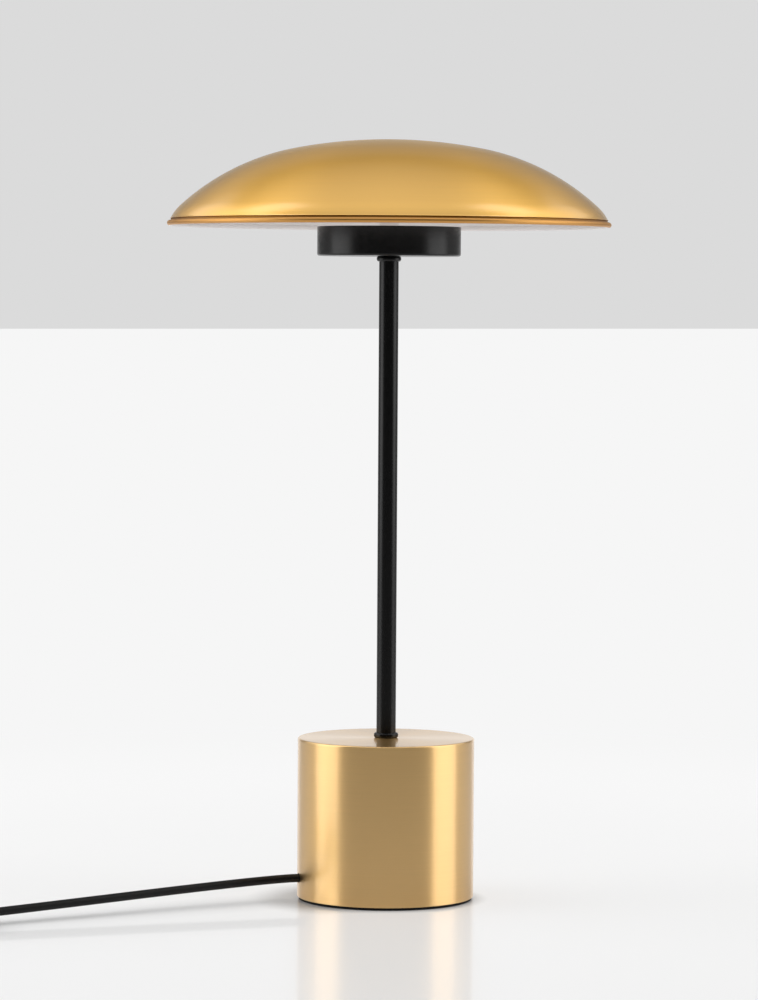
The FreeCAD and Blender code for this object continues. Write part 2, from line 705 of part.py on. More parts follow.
def centre_post():
    """Tube between the nut in the can and the shade's boss, drilled for the wires."""
    bore_r = THREAD_R + THREAD_FIT
    post = tube(POST_R, bore_r, CAN_NUT_TOP, hub_bottom())
    slot_w = 2 * (WIRE_OFF + WIRE_R + FIT)
    return post.cut(block(POST_R, slot_w, 2 * WIRE_SLOT_HALF, POST_R / 2, 0, WIRE_SLOT_Z - WIRE_SLOT_HALF))


# ---------------------------------------------------------------- switch on the lead
def switch_way():
    """Unit direction of the lead through the switch."""
    bend = exit_point(LEAD_OUT_R)
    return V(SWITCH_FROM.x - bend.x, SWITCH_FROM.y - bend.y, 0).normalize()


def switch_exit():
    return SWITCH_FROM + switch_way() * SWITCH_L


def in_place(shape):
    """Move a switch piece from its own frame, x along the lead, to its place on the table."""
    way = switch_way()
    angle = math.degrees(math.atan2(way.y, way.x))
    placed = shape.copy()
    placed.rotate(V(0, 0, 0), UP, angle)
    placed.translate(V(SWITCH_FROM.x, SWITCH_FROM.y, 0))
    return placed


def switch_plan(inset):
    """Plan of the switch: full width in the middle, drawn in to both ends."""
    end = SWITCH_END_W / 2 - inset
    wide = SWITCH_W / 2 - inset
    near, far = SWITCH_TAPER_L, SWITCH_L - SWITCH_TAPER_L
    r = SWITCH_CORNER_R
    side_r = SWITCH_SIDE_R
    return [(inset, -end, r), (near, -wide, side_r), (far, -wide, side_r), (SWITCH_L - inset, -end, r),
            (SWITCH_L - inset, end, r), (far, wide, side_r), (near, wide, side_r), (inset, end, r)]


def pivot_z():
    return SWITCH_H - PIVOT_BELOW_TOP


def switch_screw_places():
    return [(SWITCH_SCREW_X, SWITCH_SCREW_Y), (SWITCH_L - SWITCH_SCREW_X, -SWITCH_SCREW_Y)]


def with_rounded_rim(shell, z):
    level = [e for e in shell.Edges if e.BoundBox.ZLength < TOLERANCE]
    return shell.makeFillet(SWITCH_EDGE_R, [e for e in level if abs(e.BoundBox.ZMin - z) < TOLERANCE])


def switch_base():
    """Lower half of the switch, open at the top, with two screw posts."""
    split = SWITCH_FROM.z
    shell = with_rounded_rim(pushed_up(switch_plan(0), 0, split), 0)
    shell = shell.cut(pushed_up(switch_plan(SWITCH_WALL), SWITCH_WALL, split))
    for x, y in switch_screw_places():
        shell = shell.fuse(disc(SWITCH_BOSS_R, SWITCH_WALL / 2, split, x, y))
    for x, y in switch_screw_places():
        shell = shell.cut(disc(M3_R + SLIP, 0, split, x, y))
        shell = shell.cut(disc(M3_HEAD_R + SLIP, 0, SWITCH_SCREW_SINK + M3_HEAD_H, x, y))
    return in_place(shell.removeSplitter())


def switch_cover():
    """Upper half of the switch, with the rocker's window and the two lugs that hold its pin."""
    split = SWITCH_FROM.z
    shell = with_rounded_rim(pushed_up(switch_plan(0), split, SWITCH_H), SWITCH_H)
    shell = shell.cut(pushed_up(switch_plan(SWITCH_WALL), split, SWITCH_H - SWITCH_WALL))
    for x, y in switch_screw_places():
        shell = shell.fuse(disc(SWITCH_BOSS_R, split, SWITCH_H - SWITCH_WALL / 2, x, y))
        shell = shell.cut(disc(M3_R, split, split + SWITCH_SCREW_GRIP, x, y))
    lug_y = ROCKER_W / 2 + ROCKER_GAP + PIVOT_LUG_T / 2
    for side in (-1, 1):
        height = SWITCH_H - SWITCH_WALL / 2 - split
        shell = shell.fuse(block(PIVOT_LUG_L, PIVOT_LUG_T, height, SWITCH_L / 2, side * lug_y, split))
    window = block(ROCKER_L + 2 * ROCKER_GAP, ROCKER_W + 2 * ROCKER_GAP, SWITCH_H, SWITCH_L / 2, 0, split)
    shell = shell.cut(window).cut(pivot_bar(PIVOT_R, pin_length()))
    return in_place(shell.removeSplitter())


def pin_length():
    return ROCKER_W + 2 * ROCKER_GAP + 2 * PIVOT_LUG_T


def pivot_bar(radius, length):
    return Part.makeCylinder(radius, length, V(SWITCH_L / 2, -length / 2, pivot_z()), V(0, 1, 0))


def switch_rocker():
    """Rocker key: dished top, ends turned about its pivot, at rest with its near end down."""
    reach = ROCKER_L / 2
    top = ROCKER_RISE
    rise = reach * math.tan(math.radians(ROCKER_TILT))
    x = SWITCH_L / 2
    z = pivot_z()
    y = -ROCKER_W / 2
    points = [(-reach, -ROCKER_DROP, ROCKER_FOOT_R), (reach, -ROCKER_DROP, ROCKER_FOOT_R),
              (reach, top + rise, ROCKER_TIP_R), (0, top, ROCKER_DISH_R), (-reach, top + rise, ROCKER_TIP_R)]
    wire = outline([(V(x + px, y, z + pz), r) for px, pz, r in points])
    key = Part.Face(wire).extrude(V(0, ROCKER_W, 0))
    sweep_round = Part.makeCylinder(reach, ROCKER_W, V(x, y, z), V(0, 1, 0))
    middle = block(ROCKER_L - 2 * ROCKER_END_FLAT, ROCKER_W, ROCKER_L, x, 0, z - reach)
    key = key.common(sweep_round.fuse(middle))
    key = key.cut(pivot_bar(PIVOT_R + PIVOT_FIT, ROCKER_W))
    key.rotate(V(x, 0, z), V(0, 1, 0), -ROCKER_TILT)
    return in_place(key)


def switch_screws():
    head = SWITCH_SCREW_SINK + M3_HEAD_H
    foot = SWITCH_FROM.z + SWITCH_SCREW_GRIP
    screws = []
    for x, y in switch_screw_places():
        screw = disc(M3_R, head, foot, x, y).fuse(disc(M3_HEAD_R, SWITCH_SCREW_SINK, head, x, y))
        screws.append(in_place(screw.removeSplitter()))
    return Part.makeCompound(screws)


# ---------------------------------------------------------------- plug at the end of the lead
def plug_body():
    """Flat two-pin plug with a tapered tail, lying on the table and pointing along +Y."""
    at = END_ROUTE[-1]
    half_t = PLUG_T / 2
    back = PLUG_BACK_W / 2
    wide = PLUG_W / 2
    root = at.y + PLUG_RELIEF_L
    face = root + PLUG_L
    shoulder = root + PLUG_SHOULDER
    corners = [(at.x - back, root, PLUG_BACK_R), (at.x + back, root, PLUG_BACK_R),
               (at.x + wide, shoulder, PLUG_SHOULDER_R), (at.x + wide, face, PLUG_FACE_R),
               (at.x - wide, face, PLUG_FACE_R), (at.x - wide, shoulder, PLUG_SHOULDER_R)]
    body = pushed_up(corners, at.z - half_t, at.z + half_t)
    level = [e for e in body.Edges if e.BoundBox.ZLength < TOLERANCE]
    body = body.makeFillet(PLUG_ROUND_R, [e for e in level if e.CenterOfMass.y < face - PLUG_FACE_R])
    tip_r = CORD_R + RELIEF_WALL
    root_r = CORD_R + RELIEF_ROOT_WALL
    tail = Part.makeCone(tip_r, root_r, PLUG_RELIEF_L + SINK, at, V(0, 1, 0))
    return body.fuse(tail).removeSplitter()


def plug_pins():
    at = END_ROUTE[-1]
    face = at.y + PLUG_RELIEF_L + PLUG_L
    pins = []
    for side in (-1, 1):
        foot = V(at.x + side * PIN_SPACING / 2, face, at.z)
        pin = Part.makeCylinder(PIN_R, PIN_L - PIN_R, foot, V(0, 1, 0))
        tip = Part.makeSphere(PIN_R, foot + V(0, PIN_L - PIN_R, 0))
        pins.append(pin.fuse(tip).removeSplitter())
    return Part.makeCompound(pins)


# ---------------------------------------------------------------- lead
def coil_state(turn, centre):
    """Place and direction on the coil after a number of turns, seen from above clockwise."""
    half = (COIL_TURNS - COIL_CLIMB) / 2
    low_z = TAIL_ROUTE[-1].z
    if turn <= half:
        radius, rate, height, climb = COIL_OUTER_R - COIL_STEP * turn, -COIL_STEP, 0.0, 0.0
    elif turn < half + COIL_CLIMB:
        u = turn - half
        share = u / COIL_CLIMB
        radius = COIL_OUTER_R - COIL_STEP * (half + u - u ** 2 / COIL_CLIMB)
        rate = COIL_STEP * (2 * share - 1)
        height = COIL_STEP * share ** 2 * (3 - 2 * share)
        climb = COIL_STEP * 6 * share * (1 - share) / COIL_CLIMB
    else:
        radius = COIL_OUTER_R - COIL_STEP * (COIL_TURNS - turn)
        rate, height, climb = COIL_STEP, COIL_STEP, 0.0
    angle = math.pi - 2 * math.pi * turn
    outward = V(math.cos(angle), math.sin(angle), 0)
    onward = V(math.sin(angle), -math.cos(angle), 0)
    place = centre + outward * radius + V(0, 0, low_z + height)
    direction = outward * rate + onward * (2 * math.pi * radius) + V(0, 0, climb)
    return place, direction.normalize()


def coil_centre():
    start = TAIL_ROUTE[-1]
    return V(start.x + COIL_OUTER_R, start.y + CORD_D, 0)


def cord_coil():
    """The put-away length: two layers of turns, spiralling in below and out again above."""
    centre = coil_centre()
    quarters = int(round(COIL_TURNS * 4))
    states = [coil_state(i / 4, centre) for i in range(quarters + 1)]
    first, last = states[0][0], states[-1][0]
    lead_in = first - V(0, CORD_D, 0)
    lead_out = last + V(0, CORD_D, 0)
    states[0] = (first, V(0, 1, 0))
    states[-1] = (last, V(0, 1, 0))
    edges = [Part.LineSegment(lead_in, first).toShape()]
    for (start, ahead), (finish, onward) in zip(states, states[1:]):
        edges += biarc(start, ahead, finish, onward)
    edges.append(Part.LineSegment(last, lead_out).toShape())
    path = Part.Wire(edges)
    print(f"cord_coil: least radius {min(e.Curve.Radius for e in edges[1:-1]):.1f} mm")
    print(f"cord_coil: least gap to itself {self_gap(edges):.2f} mm")
    return swept(path, CORD_R, "cord_coil"), lead_out


def self_gap(edges):
    """Least gap between turns, measured on points along the coil's centre line."""
    points = []
    for edge in edges:
        points += edge.discretize(GAP_STEPS)[:-1]
    travelled = [0.0]
    for a, b in zip(points, points[1:]):
        travelled.append(travelled[-1] + (b - a).Length)
    apart = 2 * math.pi * COIL_OUTER_R / 4
    least = COIL_OUTER_R
    for i, a in enumerate(points):
        for j in range(i + 1, len(points)):
            if travelled[j] - travelled[i] > apart:
                least = min(least, (points[j] - a).Length)
    return least - CORD_D


# ---------------------------------------------------------------- write every piece
os.makedirs("parts", exist_ok=True)

write("foot_pad", foot_pad())
write("bottom_plate", bottom_plate())
write("plate_screws", plate_screws())
write("base_weight", base_weight())
write("base_shell", base_shell())
write("cord_bush", cord_bush())
write("clamp_saddle", clamp_half(PLATE_TOP, CORD_EXIT_Z - CLAMP_SPLIT / 2))
write("clamp_bar", clamp_half(CORD_EXIT_Z + CLAMP_SPLIT / 2, clamp_top_z()))
write("clamp_screws", clamp_screws())
write("led_driver", led_driver())
write("driver_screws", driver_screws())
write("terminal_block", terminal_block())
write("mains_wires", mains_wires())
write("driver_wires", driver_wires())
write("led_wires", led_wires())
write("rod_washer", tube(WASHER_R, THREAD_HOLE_R, WEIGHT_BOTTOM - WASHER_T, WEIGHT_BOTTOM))
write("rod_nut", nut(NUT_H, WEIGHT_BOTTOM - WASHER_T - NUT_H))
write("base_rod", tube(THREAD_R, THREAD_BORE_R, rod_bottom(), STEM_BOTTOM + THREAD_GRIP))
write("collar_bottom", collar(BASE_TOP))
write("stem", tube(STEM_R, THREAD_R + THREAD_FIT, STEM_BOTTOM, STEM_TOP))
write("collar_top", collar(STEM_TOP))
write("can_nipple", tube(THREAD_R, THREAD_BORE_R, STEM_TOP - THREAD_GRIP, CAN_NUT_TOP + NIPPLE_TAIL))
write("lamp_can", lamp_can())
write("can_washer", tube(WASHER_R, THREAD_HOLE_R, CAN_FLOOR, CAN_FLOOR + WASHER_T))
write("can_nut", nut(NUT_THIN_H, CAN_FLOOR + WASHER_T))
write("heat_spreader", ring_with_holes(CAN_R - CAN_WALL - SLIP, CAN_FLOOR, BOARD_BOTTOM))
write("led_board", ring_with_holes(BOARD_R, BOARD_BOTTOM, BOARD_TOP))
write("led_chips", led_chips())
write("board_screws", board_screws())
write("diffuser", tube(CAN_R - CAN_WALL + DIFFUSER_SEAT - FIT, POST_R + FIT, DIFFUSER_BOTTOM, DIFFUSER_TOP))
write("centre_post", centre_post())
write("post_stud", disc(THREAD_R, hub_bottom() - STUD_IN_POST, stud_top()))
write("shade_boss", shade_boss())
write("dome_shade", dome_shade())
write("switch_base", switch_base())
write("switch_cover", switch_cover())
write("switch_rocker", switch_rocker())
write("rocker_pin", in_place(pivot_bar(PIVOT_R, pin_length())))
write("switch_screws", switch_screws())
write("plug_body", plug_body())
write("plug_pins", plug_pins())

way = switch_way()
coil, coil_end = cord_coil()
write("cord_lead", lead([exit_point(BASE_R + BUSH_LIP_T), exit_point(LEAD_OUT_R),
                         SWITCH_FROM - way * LEAD_LEVEL, SWITCH_FROM], CORD_R, "cord_lead"))
write("cord_inner", at_exit(CORD_R, CORD_IN_R, BASE_R + BUSH_LIP_T))
write("cord_tail", lead([switch_exit(), switch_exit() + way * TAIL_LEVEL] + TAIL_ROUTE, CORD_R,
                       "cord_tail"))
write("cord_coil", coil)
write("cord_end", lead([coil_end] + END_ROUTE, CORD_R, "cord_end"))

print(f"apex {apex_z():.2f} mm, rim plane {RIM_Z:.2f} mm, weight bottom {WEIGHT_BOTTOM:.2f} mm")
print(f"rocker pivot {SWITCH_FROM.x + way.x * SWITCH_L / 2:.4f} {SWITCH_FROM.y + way.y * SWITCH_L / 2:.4f} "
      f"{pivot_z():.4f}, axis {-way.y:.6f} {way.x:.6f} 0")
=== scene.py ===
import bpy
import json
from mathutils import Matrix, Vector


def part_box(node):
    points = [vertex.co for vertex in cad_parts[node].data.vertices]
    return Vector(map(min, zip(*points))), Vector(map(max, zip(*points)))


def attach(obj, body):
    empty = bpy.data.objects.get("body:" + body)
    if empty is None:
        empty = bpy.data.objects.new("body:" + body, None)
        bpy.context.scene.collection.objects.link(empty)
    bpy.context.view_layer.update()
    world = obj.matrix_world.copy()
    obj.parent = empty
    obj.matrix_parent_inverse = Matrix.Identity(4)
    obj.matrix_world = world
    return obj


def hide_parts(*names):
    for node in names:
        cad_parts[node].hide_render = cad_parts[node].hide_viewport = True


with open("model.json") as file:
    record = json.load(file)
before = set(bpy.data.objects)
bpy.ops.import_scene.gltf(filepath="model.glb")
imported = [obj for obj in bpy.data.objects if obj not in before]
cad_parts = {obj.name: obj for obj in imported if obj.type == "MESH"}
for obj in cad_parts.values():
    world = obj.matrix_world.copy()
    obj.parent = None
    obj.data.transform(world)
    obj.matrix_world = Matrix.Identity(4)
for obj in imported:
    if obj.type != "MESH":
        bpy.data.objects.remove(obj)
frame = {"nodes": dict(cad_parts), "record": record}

"""Dressed model of a desk lamp: spun brass shade and drum base, black stem and lamp can.

Metres, +Z up, origin at the centre of the foot, front towards -Y. Sizes come from the frame's
own boxes where they can, and from the fields of each class otherwise.
"""
import json
import logging
import math
from dataclasses import dataclass, field
from enum import Enum
from typing import Callable, Optional, Sequence

import bmesh
import bpy
from mathutils import Matrix, Vector

log = logging.getLogger("lamp")

MM = 0.001
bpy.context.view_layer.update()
LAMP = "lamp"
ROCKER = "rocker"
SAME_PLACE = 1e-7  # vertices closer together than this, in metres, are one
CRISP = math.radians(32)  # edges bent more than this stay crisp
CRISP_DETAIL = math.radians(40)  # the same on details that Geometry Nodes make

Corner = tuple[float, float, float]  # radius, height and rounding of an outline's corner
Place = tuple[float, float, float]  # a point in space
Point = tuple[float, float]  # a point in a plane, on an outline its radius and height
Colour = tuple[float, float, float, float]
Tree = bpy.types.NodeTree
Node = bpy.types.Node
Socket = bpy.types.NodeSocket


# ------------------------------------------------------------------------------ colour and nodes
def linear(hex_colour: str) -> Colour:
    """Turn an sRGB hex colour into linear RGBA.

    Args:
        hex_colour: Six hex digits, with or without a leading #.

    Returns:
        Linear red, green, blue and an alpha of 1.
    """
    digits = hex_colour.lstrip("#")
    parts = []
    for i in (0, 2, 4):
        value = int(digits[i:i + 2], 16) / 255
        parts.append(value / 12.92 if value <= 0.04045 else ((value + 0.055) / 1.055) ** 2.4)
    return parts[0], parts[1], parts[2], 1.0


def shaded(colour: Colour, factor: float) -> Colour:
    """Return a linear colour made lighter or darker by a factor, at most 1 in each channel."""
    return tuple(min(1.0, c * factor) for c in colour[:3]) + (1.0,)


def fill(tree: Tree, node: Node, inputs: dict) -> None:
    """Set or link inputs of a node.

    Args:
        tree: Node tree that the node is in.
        node: The node.
        inputs: Values or output sockets, by input name or index.
    """
    for key, value in inputs.items():
        if isinstance(value, bpy.types.NodeSocket):
            tree.links.new(value, node.inputs[key])
        else:
            node.inputs[key].default_value = value


def add(tree: Tree, kind: str, settings: Optional[dict] = None,
        inputs: Optional[dict] = None) -> Node:
    """Add a node, set its properties and fill or link its inputs.

    Args:
        tree: Node tree that gets the node.
        kind: Node type identifier.
        settings: Properties of the node, by name.
        inputs: Values or output sockets, by input name or index.

    Returns:
        The new node.
    """
    node = tree.nodes.new(kind)
    for key, value in (settings or {}).items():
        setattr(node, key, value)
    fill(tree, node, inputs or {})
    return node


def maths(tree: Tree, operation: str, *values: object) -> Socket:
    """Work on numbers with a maths node and return the result."""
    return add(tree, "ShaderNodeMath", {"operation": operation}, dict(enumerate(values))).outputs[0]


def vector_maths(tree: Tree, operation: str, *values: object) -> Socket:
    """Work on vectors with a vector maths node and return the result."""
    node = add(tree, "ShaderNodeVectorMath", {"operation": operation}, dict(enumerate(values)))
    return node.outputs["Value" if operation == "LENGTH" else "Vector"]


def split(tree: Tree, vector: Socket) -> tuple[Socket, Socket, Socket]:
    """Split a vector and return its X, Y and Z."""
    return tuple(add(tree, "ShaderNodeSeparateXYZ", inputs={0: vector}).outputs)


# A Mix node holds its sockets for numbers and for colours side by side, under the same names, so
# they are told apart by their index.
def blend(tree: Tree, share: object, first: object, second: object) -> Socket:
    """Mix two numbers by the share of the second."""
    return add(tree, "ShaderNodeMix", {"data_type": "FLOAT"},
               {0: share, 2: first, 3: second}).outputs[0]


def blend_colours(tree: Tree, share: object, first: Colour, second: Colour) -> Socket:
    """Mix two colours by the share of the second."""
    return add(tree, "ShaderNodeMix", {"data_type": "RGBA"},
               {0: share, 6: first, 7: second}).outputs[2]


def ramp(tree: Tree, value: Socket, span: tuple, levels: tuple, smooth: bool = False) -> Socket:
    """Map one span of numbers to another, and stay level outside it.

    Args:
        tree: Node tree that gets the node.
        value: Number that is mapped.
        span: Numbers or sockets where the ramp begins and ends.
        levels: Numbers or sockets that it gives there.
        smooth: Ease in and out instead of going straight.

    Returns:
        The mapped number.
    """
    settings = {"interpolation_type": "SMOOTHSTEP" if smooth else "LINEAR"}
    return add(tree, "ShaderNodeMapRange", settings,
               dict(enumerate((value, *span, *levels)))).outputs[0]


def own_place(tree: Tree) -> Socket:
    """Return the place of the shaded point on its object."""
    return add(tree, "ShaderNodeTexCoord").outputs["Object"]


def camera_ray(tree: Tree) -> Socket:
    """Return 1 where the camera looks straight at the surface, and 0 in reflections."""
    return add(tree, "ShaderNodeLightPath").outputs["Is Camera Ray"]


# ------------------------------------------------------------------------------ finishes
FINE_DETAIL = 3.0  # octaves of the fine pattern
SLOW_DETAIL = 2.0  # octaves of the slow changes in tone
SLOW_SHARE = 0.35  # share of the slow changes in the whole pattern
BUMP_STRENGTH = 0.5
QUARTER_TURN = 0.25  # lays stretched reflections across the lines of the brushing


class Pattern(Enum):
    """How a surface was made, which sets the way its fine pattern runs."""

    SPUN = "rings left by spinning and brushing on a lathe"
    GRAIN = "even grain, alike in all directions"
    CELLS = "open cells"


@dataclass(frozen=True)
class Finish:
    """One finish: a material's common name, its colour, and how its surface was made.

    Attributes:
        name: Name of the material.
        colour: sRGB hex colour of the bare surface.
        roughness: Middle roughness.
        metallic: 1 for bare or plated metal, a little for primed iron, 0 otherwise.
        pattern: How the surface was made.
        spacing: Distance between the pattern's features as drawn, in metres.
        relief: Depth of the pattern, in metres.
        tone: How much lighter and darker the pattern makes the colour.
        gloss: How much the pattern changes the roughness.
        patch: Size of slow changes in tone, in metres.
        coat: Weight of a clear lacquer.
        coat_roughness: Roughness of that lacquer.
        coat_ior: Index of refraction of that lacquer.
        anisotropy: How much the brushing stretches reflections across its lines.
        transmission: Share of light that goes through.
        specular: Specular level, where 0.5 is an ordinary clear surface.
    """

    name: str
    colour: str
    roughness: float
    metallic: float = 0.0
    pattern: Pattern = Pattern.GRAIN
    spacing: float = 1.0 * MM
    relief: float = 0.01 * MM
    tone: float = 0.06
    gloss: float = 0.05
    patch: float = 40 * MM
    coat: float = 0.0
    coat_roughness: float = 0.1
    coat_ior: float = 1.5
    anisotropy: float = 0.0
    transmission: float = 0.0
    specular: float = 0.5

    def coordinates(self, tree: Tree) -> Socket:
        """Lay the pattern's own coordinates over the piece.

        Args:
            tree: The material's node tree.

        Returns:
            A vector in which one unit is the pattern's spacing, across the rings if it is spun.
        """
        place = own_place(tree)
        if self.pattern is not Pattern.SPUN:
            return add(tree, "ShaderNodeVectorMath", {"operation": "SCALE"},
                       {0: place, "Scale": 1 / self.spacing}).outputs[0]
        x, y, z = split(tree, place)
        flat = add(tree, "ShaderNodeCombineXYZ", inputs={0: x, 1: y}).outputs[0]
        along = maths(tree, "SUBTRACT", vector_maths(tree, "LENGTH", flat), z)
        rings = maths(tree, "DIVIDE", along, self.spacing)
        lift = add(tree, "ShaderNodeCombineXYZ", inputs={2: rings}).outputs[0]
        return vector_maths(tree, "ADD", vector_maths(tree, "NORMALIZE", flat), lift)

    def tangent(self, tree: Tree) -> Socket:
        """Return the direction round the lamp's axis, along the lines of the brushing."""
        round_axis = vector_maths(tree, "CROSS_PRODUCT", (0, 0, 1), own_place(tree))
        return vector_maths(tree, "NORMALIZE", round_axis)

    def material(self) -> bpy.types.Material:
        """Build the material once and return it.

        Returns:
            The finish as a node material.
        """
        known = bpy.data.materials.get(self.name)
        if known:
            return known
        made = bpy.data.materials.new(self.name)
        made.use_nodes = True
        tree = made.node_tree
        own = self.coordinates(tree)
        if self.pattern is Pattern.CELLS:
            fine = add(tree, "ShaderNodeTexVoronoi", inputs={"Vector": own}).outputs[0]
        else:
            fine = add(tree, "ShaderNodeTexNoise", inputs={
                "Vector": own, "Scale": 1.0, "Detail": FINE_DETAIL}).outputs[0]
        slow = add(tree, "ShaderNodeTexNoise", inputs={
            "Vector": own_place(tree), "Scale": 1 / self.patch, "Detail": SLOW_DETAIL}).outputs[0]
        both = blend(tree, SLOW_SHARE, fine, slow)
        colour = linear(self.colour)
        dark, pale = shaded(colour, 1 - self.tone), shaded(colour, 1 + self.tone)
        sheen = (self.roughness - self.gloss, self.roughness + self.gloss)
        bump = add(tree, "ShaderNodeBump", inputs={
            "Height": fine, "Distance": self.relief, "Strength": BUMP_STRENGTH}).outputs[0]
        shader = tree.nodes["Principled BSDF"]
        fill(tree, shader, {
            "Base Color": blend_colours(tree, both, dark, pale),
            "Roughness": ramp(tree, both, (0.0, 1.0), sheen), "Normal": bump,
            "Metallic": self.metallic, "Coat Weight": self.coat,
            "Coat Roughness": self.coat_roughness, "Coat IOR": self.coat_ior,
            "Transmission Weight": self.transmission, "Specular IOR Level": self.specular})
        if self.anisotropy:
            fill(tree, shader, {"Anisotropic": self.anisotropy, "Tangent": self.tangent(tree),
                                "Anisotropic Rotation": QUARTER_TURN})
        return made


# Spun steel, brass plated, polished along the spin and clear lacquered: a strong gold seen square
# on, paler at a glance where the satin lacquer mirrors the room. Rings are really about 0.1 mm
# apart and are drawn 0.9 mm apart so that they show.
SPUN_BRASS = Finish("spun_brass_lacquered", "#F9C353", 0.48, metallic=1.0, pattern=Pattern.SPUN,
                    spacing=0.9 * MM, relief=0.004 * MM, tone=0.06, gloss=0.03, patch=90 * MM,
                    coat=1.0, coat_roughness=0.24, coat_ior=1.7, anisotropy=0.6)
# Painted shade: darker brass on the crease above the rolled bead, where shade falls.
CREASE_PAINTED_SHADE = Finish("brass_crease_painted_shade", "#94672A", 0.4, metallic=1.0, spacing=0.3 * MM,
                      relief=0.01 * MM, tone=0.2, gloss=0.05)
# The rolled bead: the same plating in a browner, duller copy of the dome's colour, painted shade
# that makes the bead read darker than the dome.
BEAD_BRASS_SHADED = Finish("rolled_bead_brass_shaded", "#D29C58", 0.42, metallic=1.0, spacing=0.5 * MM,
                    relief=0.003 * MM, tone=0.08, gloss=0.04)
# The same plating on the drum, brushed round it and lacquered more thinly: paler, with harder
# reflections. Its rings are drawn 0.7 mm apart.
BRUSHED_BRASS = Finish("brushed_brass_lacquered", "#F9CE8B", 0.33, metallic=1.0,
                       pattern=Pattern.SPUN, spacing=0.7 * MM, relief=0.005 * MM, tone=0.05,
                       gloss=0.03, patch=90 * MM, coat=0.7, coat_roughness=0.12, anisotropy=0.8)
# Steel with a satin black powder coat: soft broad reflections and a faint orange peel.
BLACK_PAINT = Finish("black_powder_coat", "#030303", 0.27, spacing=0.5 * MM, relief=0.002 * MM,
                     tone=0.08, gloss=0.02, specular=0.34)
# White stoving lacquer inside the shade: even, slightly warm, softly glossy.
WHITE_LACQUER = Finish("white_stove_lacquer", "#F1ECEA", 0.42, spacing=1.5 * MM, relief=0.01 * MM,
                       tone=0.02, gloss=0.04)
# Opal acrylic disc: milky and satin.
OPAL = Finish("opal_acrylic", "#F3F2EC", 0.35, spacing=3 * MM, relief=0.002 * MM, tone=0.01,
              transmission=0.25)
# Zinc plated steel: pale grey with a slight blotch.
ZINC = Finish("zinc_plated_steel", "#B9BBBC", 0.34, metallic=1.0, spacing=0.8 * MM, tone=0.08)
# Sand cast iron with a dark primer: coarse dull skin.
CAST_IRON = Finish("cast_iron_primed", "#3A3B3C", 0.7, metallic=0.2, spacing=1.6 * MM,
                   relief=0.15 * MM, tone=0.2, gloss=0.1)
# Closed cell foam pad: dull black with fine cells.
FOAM = Finish("closed_cell_foam", "#141414", 0.92, pattern=Pattern.CELLS, spacing=0.6 * MM,
              relief=0.08 * MM, tone=0.3, gloss=0.03)
# Moulded black ABS with a fine spark-eroded grain.
BLACK_PLASTIC = Finish("black_abs_moulded", "#131314", 0.46, spacing=0.5 * MM, relief=0.02 * MM,
                       tone=0.15, gloss=0.06)
# Extruded black PVC sheath: satin, with a faint unevenness along it.
SHEATH = Finish("black_pvc_sheath", "#090808", 0.42, spacing=2.2 * MM, relief=0.02 * MM, tone=0.15,
                gloss=0.06, specular=0.3)
# Moulded white polyamide of the hidden fittings.
WHITE_PLASTIC = Finish("white_polyamide", "#E4E3DE", 0.5, spacing=0.6 * MM, relief=0.01 * MM)
# Phosphor filled silicone on the light emitting chips.
PHOSPHOR = Finish("phosphor_silicone", "#E8D24A", 0.35, spacing=0.3 * MM, tone=0.1)
# Faced aluminium ring: fine turned lines.
ALUMINIUM = Finish("turned_aluminium", "#C9CACC", 0.3, metallic=1.0, pattern=Pattern.SPUN,
                   spacing=0.5 * MM, relief=0.006 * MM, anisotropy=0.5)
# Extruded PVC sleeve of the single wires.
WIRE_SLEEVE = Finish("red_pvc_sleeve", "#8E1D16", 0.38, spacing=0.8 * MM)
# Nickel plated brass pins: bright, slightly warm.
NICKEL = Finish("nickel_plated_brass", "#CFC9BD", 0.2, metallic=1.0, spacing=0.6 * MM, tone=0.05)

SLOT_FINISHES = {
    "brass_satin": SPUN_BRASS, "black_paint": BLACK_PAINT, "white_lacquer": WHITE_LACQUER,
    "opal_acrylic": OPAL, "zinc_steel": ZINC, "cast_iron": CAST_IRON, "foam_black": FOAM,
    "black_plastic": BLACK_PLASTIC, "cord_sheath": SHEATH, "white_plastic": WHITE_PLASTIC,
    "led_phosphor": PHOSPHOR, "spreader_aluminium": ALUMINIUM, "wire_sleeve": WIRE_SLEEVE,
    "pin_nickel": NICKEL,
}


# ------------------------------------------------------------------------------ mesh helpers
def rounded_outline(corners: Sequence[Corner], step: float = math.radians(9)) -> list[Point]:
    """Round the corners of an open outline.

    Args:
        corners: (radius, height, rounding) of each corner in order, in metres.
        step: Largest angle between two points on a rounding.

    Returns:
        Points along the outline.
    """
    points: list[Point] = []
    for i, (r, z, rounding) in enumerate(corners):
        if rounding == 0 or i in (0, len(corners) - 1):
            points.append((r, z))
            continue
        here = Vector((r, z))
        back = (Vector(corners[i - 1][:2]) - here).normalized()
        ahead = (Vector(corners[i + 1][:2]) - here).normalized()
        half = back.angle(ahead) / 2
        centre = here + (back + ahead).normalized() * (rounding / math.sin(half))
        start = here + back * (rounding / math.tan(half)) - centre
        turn = start.angle_signed(here + ahead * (rounding / math.tan(half)) - centre)
        count = max(2, math.ceil(abs(turn) / step))
        for k in range(count + 1):
            spoke = Matrix.Rotation(-turn * k / count, 2) @ start
            points.append(tuple(centre + spoke))
    return points


def arc_points(centre: Point, radius: float, start: float, finish: float,
               count: int) -> list[Point]:
    """Points on an arc, with angles measured from +Z towards +R."""
    angles = [start + (finish - start) * i / count for i in range(count + 1)]
    return [(centre[0] + radius * math.sin(a), centre[1] + radius * math.cos(a)) for a in angles]


